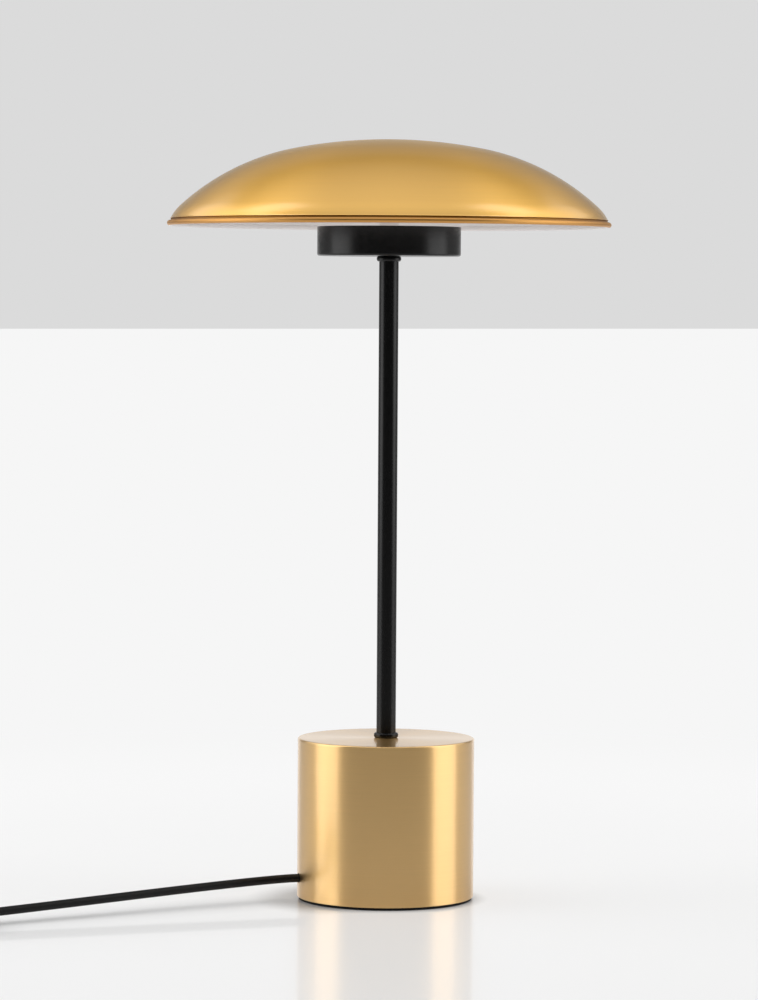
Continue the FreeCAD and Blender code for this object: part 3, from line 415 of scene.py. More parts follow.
def finished_object(name: str, mesh: bmesh.types.BMesh, finish: Finish,
                    sharp: float = CRISP) -> bpy.types.Object:
    """Turn a bmesh into a smooth object at the origin that wears a finish.

    Args:
        name: Name of the piece.
        mesh: Its faces; freed here.
        finish: Its finish.
        sharp: Edges bent more than this stay crisp.

    Returns:
        The new object.
    """
    bmesh.ops.remove_doubles(mesh, verts=mesh.verts, dist=SAME_PLACE)
    bmesh.ops.recalc_face_normals(mesh, faces=mesh.faces)
    data = bpy.data.meshes.new(name)
    mesh.to_mesh(data)
    mesh.free()
    data.shade_smooth()
    data.set_sharp_from_angle(angle=sharp)
    data.materials.append(finish.material())
    made = bpy.data.objects.new(name, data)
    bpy.context.scene.collection.objects.link(made)
    return made


def lathe(outline: Sequence[Point], segments: int) -> bmesh.types.BMesh:
    """Turn a closed outline about +Z, with its poles closed to one vertex each.

    Args:
        outline: Points (radius, height); the last joins the first.
        segments: Steps round the axis.

    Returns:
        A closed bmesh.
    """
    mesh = bmesh.new()
    rings = []
    for r, z in outline:
        if r < SAME_PLACE:
            rings.append([mesh.verts.new((0, 0, z))] * segments)
            continue
        turns = [2 * math.pi * k / segments for k in range(segments)]
        rings.append([mesh.verts.new((r * math.cos(a), r * math.sin(a), z)) for a in turns])
    for one, other in zip(rings, rings[1:] + rings[:1]):
        for k in range(segments):
            corners = [one[k], one[(k + 1) % segments], other[(k + 1) % segments], other[k]]
            distinct = list(dict.fromkeys(corners))
            if len(distinct) > 2:
                mesh.faces.new(distinct)
    return mesh


def bake(piece: bpy.types.Object, step: bpy.types.Modifier) -> bpy.types.Mesh:
    """Swap a piece's mesh for what its modifier makes of it.

    Args:
        piece: The piece, whose mesh is replaced.
        step: Its one modifier, which is removed.

    Returns:
        The piece's new mesh.
    """
    bpy.context.view_layer.update()
    graph = bpy.context.evaluated_depsgraph_get()
    mesh = bpy.data.meshes.new_from_object(piece.evaluated_get(graph))
    piece.modifiers.remove(step)
    piece.data = mesh
    return mesh


def cut_away(piece: bpy.types.Object, tool: bpy.types.Object) -> None:
    """Cut a tool's shape out of a piece and discard the tool.

    Args:
        piece: The piece that is cut; its mesh is replaced.
        tool: The closed cutter.
    """
    step = piece.modifiers.new("cut", "BOOLEAN")
    step.operation = "DIFFERENCE"
    step.solver = "EXACT"
    step.object = tool
    cut = bake(piece, step)
    cut.shade_smooth()
    cut.set_sharp_from_angle(angle=CRISP)
    bpy.data.objects.remove(tool)


def placed(piece: bpy.types.Object, body: str, slot: str, *nodes: str) -> None:
    """Seat a finished piece in the frame: what it rides on and the nodes it stands for.

    Args:
        piece: The finished object.
        body: Body that it moves with.
        slot: Material slot of the record; not used.
        nodes: Nodes of the frame that it replaces.
    """
    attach(piece, body)
    if nodes:
        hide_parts(*nodes)
    log.info("%s rides on %s, stands for %s", piece.name, body, ", ".join(nodes) or "nothing")


def extent(node: str) -> tuple[float, float, float]:
    """Return a turned node's outer radius, bottom and top, from its box."""
    low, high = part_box(node)
    return high.x, low.z, high.z


def grown(name: str, settings: dict, finish: Finish, lay_out: Callable[[Tree, Node], Socket],
          place: Matrix) -> bpy.types.Object:
    """Grow a repeated detail with Geometry Nodes and turn it into a plain mesh.

    Args:
        name: Name of the piece.
        settings: Named inputs of the node group: whole numbers, lengths or vectors.
        finish: Its finish.
        lay_out: Adds the nodes that make the instances, from the tree and its input node.
        place: Where the detail goes.

    Returns:
        The new object, without a modifier.
    """
    kinds = {int: "NodeSocketInt", float: "NodeSocketFloat", tuple: "NodeSocketVector"}
    tree = bpy.data.node_groups.new(name, "GeometryNodeTree")
    sockets = {key: tree.interface.new_socket(key, in_out="INPUT", socket_type=kinds[type(value)])
               for key, value in settings.items()}
    tree.interface.new_socket("Geometry", in_out="OUTPUT", socket_type="NodeSocketGeometry")
    entry = add(tree, "NodeGroupInput")
    solid = add(tree, "GeometryNodeRealizeInstances", inputs={0: lay_out(tree, entry)})
    dressed = add(tree, "GeometryNodeSetMaterial", inputs={
        0: solid.outputs[0], "Material": finish.material()})
    smooth = add(tree, "GeometryNodeSetShadeSmooth", inputs={0: dressed.outputs[0]})
    add(tree, "NodeGroupOutput", inputs={0: smooth.outputs[0]})
    host = bpy.data.objects.new(name, bpy.data.meshes.new(name + "_host"))
    bpy.context.scene.collection.objects.link(host)
    step = host.modifiers.new("grow", "NODES")
    step.node_group = tree
    for key, value in settings.items():
        step[sockets[key].identifier] = value
    mesh = bake(host, step)
    mesh.transform(place)
    mesh.set_sharp_from_angle(angle=CRISP_DETAIL)
    return host


def row(tree: Tree, entry: Node, count: str) -> Socket:
    """Return a straight row of points, laid out by the inputs First and Step and a named count."""
    return add(tree, "GeometryNodeMeshLine", inputs={
        "Count": entry.outputs[count], "Start Location": entry.outputs["First"],
        "Offset": entry.outputs["Step"]}).outputs[0]


# ------------------------------------------------------------------------------ studio
@dataclass
class Softbox:
    """A soft light panel that faces the lamp.

    Attributes:
        name: Name of the light.
        azimuth: Degrees round from the camera's side, towards +X.
        elevation: Degrees above the lamp's middle.
        distance: From the lamp's middle, in metres.
        width: Panel width in metres.
        height: Panel height in metres.
        level: Brightness seen in a mirror, where 1 is white.
    """

    name: str
    azimuth: float
    elevation: float
    distance: float
    width: float
    height: float
    level: float

    def build(self, aim: Vector) -> None:
        """Add the light.

        Args:
            aim: Point that the panel faces.
        """
        data = bpy.data.lights.new(self.name, "AREA")
        data.shape = "RECTANGLE"
        data.size = self.width
        data.size_y = self.height
        data.energy = self.level * math.pi * self.width * self.height
        light = bpy.data.objects.new(self.name, data)
        turn, lift = math.radians(self.azimuth), math.radians(self.elevation)
        flat = math.cos(lift)
        away = Vector((math.sin(turn) * flat, -math.cos(turn) * flat, math.sin(lift)))
        light.location = aim + away * self.distance
        light.rotation_euler = away.to_track_quat("Z", "Y").to_euler()
        bpy.context.scene.collection.objects.link(light)


@dataclass
class Studio:
    """Pale floor and backdrop, soft light and the camera at the photograph's viewing angle.

    Attributes:
        floor_hex: Colour of the floor and of the backdrop's lower part.
        wall_hex: Colour of the backdrop's upper part.
        wall_y: Distance of the backdrop behind the lamp.
        wall_step: Height on the backdrop where the colour changes.
        wall_height: Height of the backdrop.
        reach: Half the size of the floor.
        middle: Height of the lamp's middle, which the soft lights face.
        camera_distance: From the lamp's axis, straight in front.
        camera_height: Above the floor.
        camera_x: Sideways place of the camera.
        pitch: Degrees that it looks down.
        roll: Degrees that it leans.
        lens: Focal length in millimetres.
        sensor: Width of the camera's sensor in millimetres.
        floor_roughness: Roughness of the floor.
        floor_coat: Weight of the smooth layer on it, which mirrors the drum faintly.
        floor_coat_roughness: Roughness of that layer.
        keep_flat: Share of the floor's own even colour in what the camera sees near the lamp.
        flat_from: Distance from the lamp from which that share grows.
        flat_beyond: Distance beyond which the floor is quite even.
        contact_reach: How far the painted shade under the lead reaches from it.
        contact_dark: Brightness of the painted shade right under a piece.
        contact_samples: Rays that look for pieces above a point of the floor.
        pad_reach: How far the painted shade round the foot's pad reaches.
        pad_full: Openness of the floor next to the pad at which its painted shade is darkest.
        lead_full: Openness of the floor under the lead at which its painted shade is darkest.
        lead_from: X to the left of which the floor counts as the lead's.
        wall_glow: Brightness of the backdrop as the lamp's metal mirrors it.
        low_glow_r: Radius of the bright patch low down on it, straight behind the lamp.
        low_glow_end: Radius at which that patch has faded out.
        ceiling: Brightness of the light tent overhead.
        dusk: Brightness of the surroundings near the horizon.
        dusk_until: Elevation in degrees up to which they stay dark.
        ceiling_from: Elevation in degrees from which the tent may be fully bright.
        back_fade: How much darker the tent gets towards the back.
        fade_from: A direction's height plus back_fade times its way forward, where the tent begins.
        fade_until: The same sum where the tent is fully bright.
        softboxes: The light panels.
    """

    floor_hex: str = "#F6F6F6"
    wall_hex: str = "#DBDBDB"
    wall_y: float = 1.2
    wall_step: float = 0.3145
    wall_height: float = 1.5
    reach: float = 6.0
    middle: float = 0.25
    camera_distance: float = 2.307
    camera_height: float = 0.339
    camera_x: float = -0.0048
    pitch: float = 2.80
    roll: float = 0.35
    lens: float = 147.17
    sensor: float = 36.0
    floor_roughness: float = 0.3
    floor_coat: float = 0.5
    floor_coat_roughness: float = 0.06
    keep_flat: float = 0.42
    flat_from: float = 0.35
    flat_beyond: float = 0.9
    contact_reach: float = 30 * MM
    contact_dark: float = 0.1
    contact_samples: int = 8
    pad_reach: float = 9 * MM
    pad_full: float = 0.3
    lead_full: float = 0.66
    lead_from: float = -0.05
    wall_glow: float = 0.36
    low_glow_r: float = 0.45
    low_glow_end: float = 0.9
    ceiling: float = 1.12
    dusk: float = 0.03
    dusk_until: float = 29.0
    ceiling_from: float = 52.0
    back_fade: float = 0.4
    fade_from: float = 0.4
    fade_until: float = 1.05
    softboxes: list[Softbox] = field(default_factory=lambda: [
        Softbox("softbox_left", -83, 15, 1.6, 1.15, 1.25, 2.05),
        Softbox("softbox_right", 83, 15, 1.6, 1.15, 1.25, 1.9),
        Softbox("softbox_left_high", -92, 54, 1.6, 0.45, 0.65, 2.3),
        Softbox("softbox_right_high", 92, 54, 1.6, 0.45, 0.65, 2.2),
        Softbox("softbox_left_rear", -124, 26, 1.8, 1.1, 1.2, 1.1),
        Softbox("softbox_right_rear", 124, 26, 1.8, 1.1, 1.2, 0.9),
    ])

    def camera(self) -> None:
        """Set the camera where the photograph was taken from."""
        data = bpy.data.cameras.new("photo_camera")
        data.lens = self.lens
        data.sensor_width = self.sensor
        view = bpy.data.objects.new("photo_camera", data)
        view.location = (self.camera_x, -self.camera_distance, self.camera_height)
        look = Matrix.Rotation(math.radians(90 - self.pitch), 4, "X")
        lean = Matrix.Rotation(math.radians(self.roll), 4, "Z")
        view.rotation_euler = (look @ lean).to_euler()
        bpy.context.scene.collection.objects.link(view)
        bpy.context.scene.camera = view

    def surface(self, name: str, corners: Sequence[Place],
                material: bpy.types.Material) -> None:
        """Add one flat stage surface.

        Args:
            name: Name of the surface.
            corners: Its corners, in order.
            material: Its material.
        """
        data = bpy.data.meshes.new(name)
        data.from_pydata(corners, [], [range(len(corners))])
        data.materials.append(material)
        made = bpy.data.objects.new(name, data)
        bpy.context.scene.collection.objects.link(made)

    def floor_material(self) -> bpy.types.Material:
        """Pale satin floor, evened out for the camera, with painted shade that darkens it close to
        what stands on it.

        Returns:
            The floor's material.
        """
        made = bpy.data.materials.new("pale_satin_floor")
        made.use_nodes = True
        tree = made.node_tree
        lit = tree.nodes["Principled BSDF"]
        fill(tree, lit, {
            "Base Color": linear(self.floor_hex), "Roughness": self.floor_roughness,
            "Coat Weight": self.floor_coat, "Coat Roughness": self.floor_coat_roughness})
        place = own_place(tree)
        away = vector_maths(tree, "LENGTH", place)
        along = split(tree, place)[0]

        def by_distance(near: float, far: float) -> Socket:
            """Go from one level near the lamp to another far from it."""
            return ramp(tree, away, (self.flat_from, self.flat_beyond), (near, far), smooth=True)

        def by_side(pad: float, lead: float) -> Socket:
            """Go from one level round the pad to another along the lead."""
            return ramp(tree, along, (0.0, self.lead_from), (pad, lead), smooth=True)

        # Painted shade: an openness (ambient occlusion) term darkens the floor's even glow close to
        # the pad and under the lead.
        openness = add(tree, "ShaderNodeAmbientOcclusion", {"samples": self.contact_samples}, {
            "Distance": by_side(self.pad_reach, self.contact_reach)}).outputs["AO"]
        painted_contact_shade = ramp(tree, openness, (by_side(self.pad_full, self.lead_full), 1.0),
                       (by_distance(self.contact_dark, 1.0), 1.0))
        tone = by_distance(1.0, linear(self.floor_hex)[0])
        flat = add(tree, "ShaderNodeEmission", inputs={
            "Strength": maths(tree, "MULTIPLY", painted_contact_shade, tone)})
        share = maths(tree, "MULTIPLY", camera_ray(tree), by_distance(self.keep_flat, 1.0))
        mixed = add(tree, "ShaderNodeMixShader", inputs={
            0: share, 1: lit.outputs[0], 2: flat.outputs[0]})
        self.one_sided(tree, mixed)
        return made

    def one_sided(self, tree: Tree, front: Node) -> None:
        """Let the camera look through a stage surface from its back.

        Args:
            tree: The material's node tree.
            front: Shader of the front side.
        """
        back = add(tree, "ShaderNodeNewGeometry").outputs["Backfacing"]
        clear = add(tree, "ShaderNodeBsdfTransparent")
        mixed = add(tree, "ShaderNodeMixShader", inputs={
            0: maths(tree, "MULTIPLY", camera_ray(tree), back),
            1: front.outputs[0], 2: clear.outputs[0]})
        fill(tree, tree.nodes["Material Output"], {"Surface": mixed.outputs[0]})

    def wall_material(self) -> bpy.types.Material:
        """Backdrop in two pale tones with a level border between them.

        Returns:
            The backdrop's material.
        """
        made = bpy.data.materials.new("two_tone_backdrop")
        made.use_nodes = True
        tree = made.node_tree
        tree.nodes.remove(tree.nodes["Principled BSDF"])
        place = own_place(tree)
        x, _, z = split(tree, place)
        height = maths(tree, "MULTIPLY_ADD", x, -math.tan(math.radians(self.roll)), z)
        above = maths(tree, "GREATER_THAN", height, self.wall_step)
        tone = blend_colours(tree, above, linear(self.floor_hex), linear(self.wall_hex))
        from_foot = vector_maths(tree, "SUBTRACT", place, (0, self.wall_y, 0))
        mirrored = ramp(tree, vector_maths(tree, "LENGTH", from_foot),
                        (self.low_glow_r, self.low_glow_end), (1.0, self.wall_glow), smooth=True)
        level = blend(tree, camera_ray(tree), mirrored, 1.0)
        glow = add(tree, "ShaderNodeEmission", inputs={"Color": tone, "Strength": level})
        self.one_sided(tree, glow)
        return made

    def world(self) -> None:
        """Dark surroundings near the horizon under a bright light tent, even to the camera."""
        made = bpy.data.worlds.new("studio")
        made.use_nodes = True
        tree = made.node_tree
        _, y, z = split(tree, add(tree, "ShaderNodeTexCoord").outputs["Generated"])
        low, high = (math.sin(math.radians(a)) for a in (self.dusk_until, self.ceiling_from))
        rise = ramp(tree, z, (low, high), (0.0, 1.0), smooth=True)
        forward = maths(tree, "MULTIPLY_ADD", y, -self.back_fade, z)
        front = ramp(tree, forward, (self.fade_from, self.fade_until), (0.0, 1.0))
        both = maths(tree, "MULTIPLY", rise, front)
        level = ramp(tree, both, (0.0, 1.0), (self.dusk, self.ceiling))
        seen = blend(tree, camera_ray(tree), level, linear(self.wall_hex)[0])
        fill(tree, tree.nodes["Background"], {"Color": (1, 1, 1, 1), "Strength": seen})
        bpy.context.scene.world = made

    def build(self) -> None:
        """Make the whole studio."""
        bpy.context.scene.view_settings.view_transform = "Standard"
        self.camera()
        r, y, top = self.reach, self.wall_y, self.wall_height
        self.surface("floor", [(-r, -r, 0), (r, -r, 0), (r, y, 0), (-r, y, 0)],
                     self.floor_material())
        self.surface("backdrop", [(-r, y, 0), (r, y, 0), (r, y, top), (-r, y, top)],
                     self.wall_material())
        self.world()
        for panel in self.softboxes:
            panel.build(Vector((0, 0, self.middle)))
        log.info("studio: %d soft lights", len(self.softboxes))


# ------------------------------------------------------------------------------ lead
@dataclass
class Lead:
    """Mains lead: out of the base, through the switch, into its put-away coil and to the plug.

    Attributes:
        diameter: Outer diameter of the sheath.
        length: Real length from the base to the plug.
        route: Points given from the base to the coil, in metres.
        end_route: Points given from the coil to the plug.
        coil_centre: Middle of the coil on the table.
        coil_r: Centre line of the outermost turn.
        coil_step: From one turn to the next, and from layer to layer.
        turns: Turns in all.
        climb: Share of a turn in which the coil goes up a layer.
        per_turn: Points on each turn.
        low_z: Height of the lower layer.
        pull_out: Widening that makes up for the spline's cutting inside its points.
        section_steps: Bevel resolution of the sheath's round section.
        span_steps: Steps along the spline from one point to the next.
    """

    diameter: float = 4.8 * MM
    length: float = 1.69
    route: tuple[Place, ...] = (
        (-0.04969, -0.01056, 0.0126), (-0.06456, -0.01372, 0.0126), (-0.21068, -0.10642, 0.0066),
        (-0.22250, -0.11392, 0.0066), (-0.27485, -0.14713, 0.0066), (-0.29005, -0.15678, 0.0066),
        (-0.3068, -0.1606, 0.0050), (-0.3233, -0.1565, 0.0032), (-0.3365, -0.1455, 0.0024),
        (-0.3438, -0.1302, 0.0024), (-0.3453, -0.1147, 0.0024), (-0.3453, -0.0997, 0.0024))
    end_route: tuple[Place, ...] = (
        (-0.3453, -0.0752, 0.0078), (-0.3430, -0.0597, 0.0048), (-0.3400, -0.0442, 0.0045),
        (-0.3389, -0.0287, 0.00685), (-0.3389, -0.0142, 0.00685))
    coil_centre: Point = (-0.3081, -0.0949)
    coil_r: float = 37.2 * MM
    coil_step: float = 5.4 * MM
    turns: float = 7.0
    climb: float = 0.5
    per_turn: int = 12
    low_z: float = 2.4 * MM
    pull_out: float = 1.035
    section_steps: int = 6
    span_steps: int = 8

    def coil_points(self) -> list[Place]:
        """Work out the coil's points: in below, half a turn up, and out above, clockwise.

        Returns:
            Points in metres.
        """
        half = (self.turns - self.climb) / 2
        last = int(self.turns * self.per_turn)
        points = []
        for i in range(last + 1):
            turn = i / self.per_turn
            if turn <= half:
                radius, height = self.coil_r - self.coil_step * turn, 0.0
            elif turn < half + self.climb:
                u = turn - half
                share = u / self.climb
                radius = self.coil_r - self.coil_step * (half + u - u ** 2 / self.climb)
                height = self.coil_step * share ** 2 * (3 - 2 * share)
            else:
                radius, height = self.coil_r - self.coil_step * (self.turns - turn), self.coil_step
            angle = math.pi - 2 * math.pi * turn
            wide = radius if i in (0, last) else radius * self.pull_out
            points.append((self.coil_centre[0] + wide * math.cos(angle),
                           self.coil_centre[1] + wide * math.sin(angle), self.low_z + height))
        return points

    def build(self) -> None:
        points = list(self.route) + self.coil_points() + list(self.end_route)
        data = bpy.data.curves.new("mains_lead", "CURVE")
        data.dimensions = "3D"
        data.bevel_depth = self.diameter / 2
        data.bevel_resolution = self.section_steps
        data.resolution_u = self.span_steps
        spline = data.splines.new("NURBS")
        spline.points.add(len(points) - 1)
        for knot, place in zip(spline.points, points):
            knot.co = (*place, 1.0)
        spline.order_u = 3
        spline.use_endpoint_u = True
        data.materials.append(SHEATH.material())
        lead = bpy.data.objects.new("mains_lead", data)
        bpy.context.scene.collection.objects.link(lead)
        placed(lead, LAMP, "cord_sheath", "cord_lead", "cord_tail", "cord_coil", "cord_end")


# ------------------------------------------------------------------------------ shade
@dataclass
class Shade:
    """Spun dome: three arcs, a rolled bead and a white lacquered inside.

    Attributes:
        sheet: Thickness of the metal.
        crown_r: Radius of the flat crown's arc.
        crown_angle: Where the crown ends.
        shoulder_r: Radius of the main sweep.
        edge_r: Radius of the steeper turn above the bead.
        edge_angle: Slope where the sheet meets the bead.
        bead_r: Radius of the rolled bead.
        lining: Thickness of the lacquer skin.
        lining_sunk: How deep the skin's back lies in the metal.
        lacquer_edge: How far past its lowest point the bead is lacquered.
        groove_w: Width of the groove above the bead.
        groove_d: Depth of that groove.
        groove_in: How far its foot reaches into the bead.
        groove_slant: How far its floor begins below its upper edge.
        margin: Slack in telling the faces of bead and groove from the dome's.
        crisp: Edges bent more than this stay crisp.
        segments: Steps round the axis.
        steps: Steps on each arc.
        bead_steps: Steps on the bead's outside.
        lacquer_steps: Steps on its lacquered side.
    """

    sheet: float = 1.2 * MM
    crown_r: float = 280 * MM
    crown_angle: float = math.radians(11)
    shoulder_r: float = 132 * MM
    edge_r: float = 25 * MM
    edge_angle: float = math.radians(70)
    bead_r: float = 1.5 * MM
    lining: float = 0.06 * MM
    lining_sunk: float = 0.01 * MM
    lacquer_edge: float = math.radians(12)
    groove_w: float = 1.1 * MM
    groove_d: float = 0.55 * MM
    groove_in: float = 0.1 * MM
    groove_slant: float = 0.25 * MM
    margin: float = 0.05 * MM
    crisp: float = math.radians(50)
    segments: int = 288
    steps: int = 24
    bead_steps: int = 28
    lacquer_steps: int = 14

    def __post_init__(self) -> None:
        """Work out the arcs' centres so that the shade fills its node."""
        self.radius, self.rim, _ = extent("dome_shade")
        self.bead_centre = (self.radius - self.bead_r, self.rim + self.bead_r)
        a1, a3 = self.crown_angle, self.edge_angle
        end_r = self.radius - self.bead_r + self.sheet / 2 * math.sin(a3)
        end_z = self.rim + self.bead_r + self.sheet / 2 * math.cos(a3)
        lead_in = (self.crown_r - self.shoulder_r) * math.sin(a1)
        step = self.shoulder_r - self.edge_r
        a2 = math.asin((end_r - lead_in - self.edge_r * math.sin(a3)) / step)
        edge = (end_r - self.edge_r * math.sin(a3), end_z - self.edge_r * math.cos(a3))
        shoulder = (edge[0] - step * math.sin(a2), edge[1] - step * math.cos(a2))
        crown = (0.0, shoulder[1] - (self.crown_r - self.shoulder_r) * math.cos(a1))
        self.arcs = ((crown, self.crown_r, 0.0, a1), (shoulder, self.shoulder_r, a1, a2),
                     (edge, self.edge_r, a2, a3))

    def skin(self, inset: float) -> list[Point]:
        """Points from the apex to the rim, set in from the outer face.

        Args:
            inset: Distance inside the outer face.

        Returns:
            Points (radius, height).
        """
        points: list[Point] = []
        for i, (centre, radius, start, finish) in enumerate(self.arcs):
            arc = arc_points(centre, radius - inset, start, finish, self.steps)
            points += arc[1:] if i else arc
        return points

    def groove(self, points: list[Point]) -> list[Point]:
        """Draw the sheet in just above the bead, where the roller pressed it.

        Args:
            points: The outer face from the apex to the bead.

        Returns:
            The same line, with the groove at its end.
        """
        end, slope = Vector(points[-1]), self.edge_angle
        inward = Vector((-math.sin(slope), -math.cos(slope)))
        upward = Vector((-math.cos(slope), math.sin(slope)))
        foot = end + upward * (self.bead_r - self.groove_in)
        lip = foot + upward * self.groove_w
        height = (lip - end).dot(upward)
        kept = [p for p in points if (Vector(p) - end).dot(upward) > height]
        shelf = lip + inward * self.groove_d - upward * self.groove_slant
        return kept + [tuple(lip), tuple(shelf), tuple(foot + inward * self.groove_d)]

    def bead(self, offset: float, start: Point, finish: Point, count: int) -> list[Point]:
        """Points round the bead's outside from one point's direction to another's.

        Args:
            offset: Distance outside the bead's surface.
            start: Point that gives the first direction.
            finish: Point that gives the last direction.
            count: Steps on the arc.

        Returns:
            Points (radius, height).
        """
        r, z = self.bead_centre
        first = math.atan2(start[0] - r, start[1] - z)
        last = math.atan2(finish[0] - r, finish[1] - z) % (2 * math.pi)
        return arc_points((r, z), self.bead_r + offset, first, last, count)

    def brass(self) -> None:
        """Sheet and bead in one closed turned mesh, with painted shade: darker brass in the groove
        and on the bead.
        """
        outer = self.groove(self.skin(0.0))
        inner = self.skin(self.sheet)
        outline = outer + self.bead(0.0, outer[-1], inner[-1], self.bead_steps) + inner[::-1]
        made = finished_object("shade_sheet", lathe(outline, self.segments), SPUN_BRASS, self.crisp)
        for finish in (CREASE_PAINTED_SHADE, BEAD_BRASS_SHADED):
            made.data.materials.append(finish.material())
        # The groove's faces get darker brass and the bead's a browner copy of the brass: both are
        # painted shade.
        crease_shade_slot, shaded_bead_slot = 1, 2
        middle = Vector(self.bead_centre)
        lip, floor_r = outer[-3], max(p[0] for p in outer[-2:])
        for face in made.data.polygons:
            spot = Vector((math.hypot(face.center.x, face.center.y), face.center.z))
            in_groove = floor_r - self.sheet / 2 < spot.x < lip[0] + self.margin
            if (spot - middle).length < self.bead_r + self.margin:
                face.material_index = shaded_bead_slot
            elif in_groove and middle.y < spot.y < lip[1]:
                face.material_index = crease_shade_slot
        placed(made, LAMP, "brass_satin", "dome_shade")

    def lacquer_line(self, offset: float) -> list[Point]:
        """Follow the sheet's inner face and the bead's inner and lower side.

        Args:
            offset: Distance from the metal.

        Returns:
            Points (radius, height).
        """
        centre = Vector(self.bead_centre)
        skin = [p for p in self.skin(self.sheet + offset)
                if (Vector(p) - centre).length > self.bead_r + offset]
        below = (centre.x + self.bead_r * math.tan(self.lacquer_edge), centre.y - self.bead_r)
        return skin + self.bead(offset, below, skin[-1], self.lacquer_steps)[::-1]

    def white(self) -> None:
        """Lacquer skin on the sheet's inner face and round the bead's inner and lower side."""
        outline = self.lacquer_line(-self.lining_sunk) + self.lacquer_line(self.lining)[::-1]
        made = finished_object("shade_lining", lathe(outline, self.segments), WHITE_LACQUER)
        placed(made, LAMP, "white_lacquer")

    def build(self) -> None:
        """Make the shade's two pieces."""
        self.brass()
        self.white()


# ------------------------------------------------------------------------------ stem and lamp can
@dataclass
class StemAndCan:
    """Black tube between two collars, and the round can under the shade.

    Attributes:
        collar_round: Rounding of the collars' edges.
        bore: Radius of the hole through stem and collars.
        can_wall: Wall of the can.
        can_floor: Floor of the can.
        can_edge: Rounding at its bottom.
        can_lip: Rounding at its rim.
        seat: Width of the diffuser's step.
        segments: Steps round the axis.
    """

    collar_round: float = 1.2 * MM
    bore: float = 4.3 * MM
    can_wall: float = 3.0 * MM
    can_floor: float = 2.0 * MM
    can_edge: float = 1.2 * MM
    can_lip: float = 0.3 * MM
    seat: float = 1.7 * MM
    segments: int = 160

    def turned(self, name: str, node: str, corners: Sequence[Corner]) -> None:
        """Make one black turned piece that stands for its node."""
        made = finished_object(name, lathe(rounded_outline(corners), self.segments), BLACK_PAINT)
        placed(made, LAMP, "black_paint", node)

    def build(self) -> None:
        """Make the stem, both collars and the can."""
        bore = self.bore
        for name, node, rounding in (("collar_below", "collar_bottom", self.collar_round),
                                     ("collar_above", "collar_top", self.collar_round),
                                     ("stem_tube", "stem", 0)):
            r, z0, z1 = extent(node)
            self.turned(name, node, [
                (bore, z0, 0), (r, z0, rounding), (r, z1, rounding), (bore, z1, 0)])
        r, z0, z1 = extent("lamp_can")
        inner, floor = r - self.can_wall, z0 + self.can_floor
        seat, ledge = inner + self.seat, extent("diffuser")[1]
        self.turned("lamp_can_cup", "lamp_can", [
            (bore, z0, 0), (r, z0, self.can_edge), (r, z1, self.can_lip), (seat, z1, 0),
            (seat, ledge, 0), (inner, ledge, 0), (inner, floor, 0), (bore, floor, 0)])


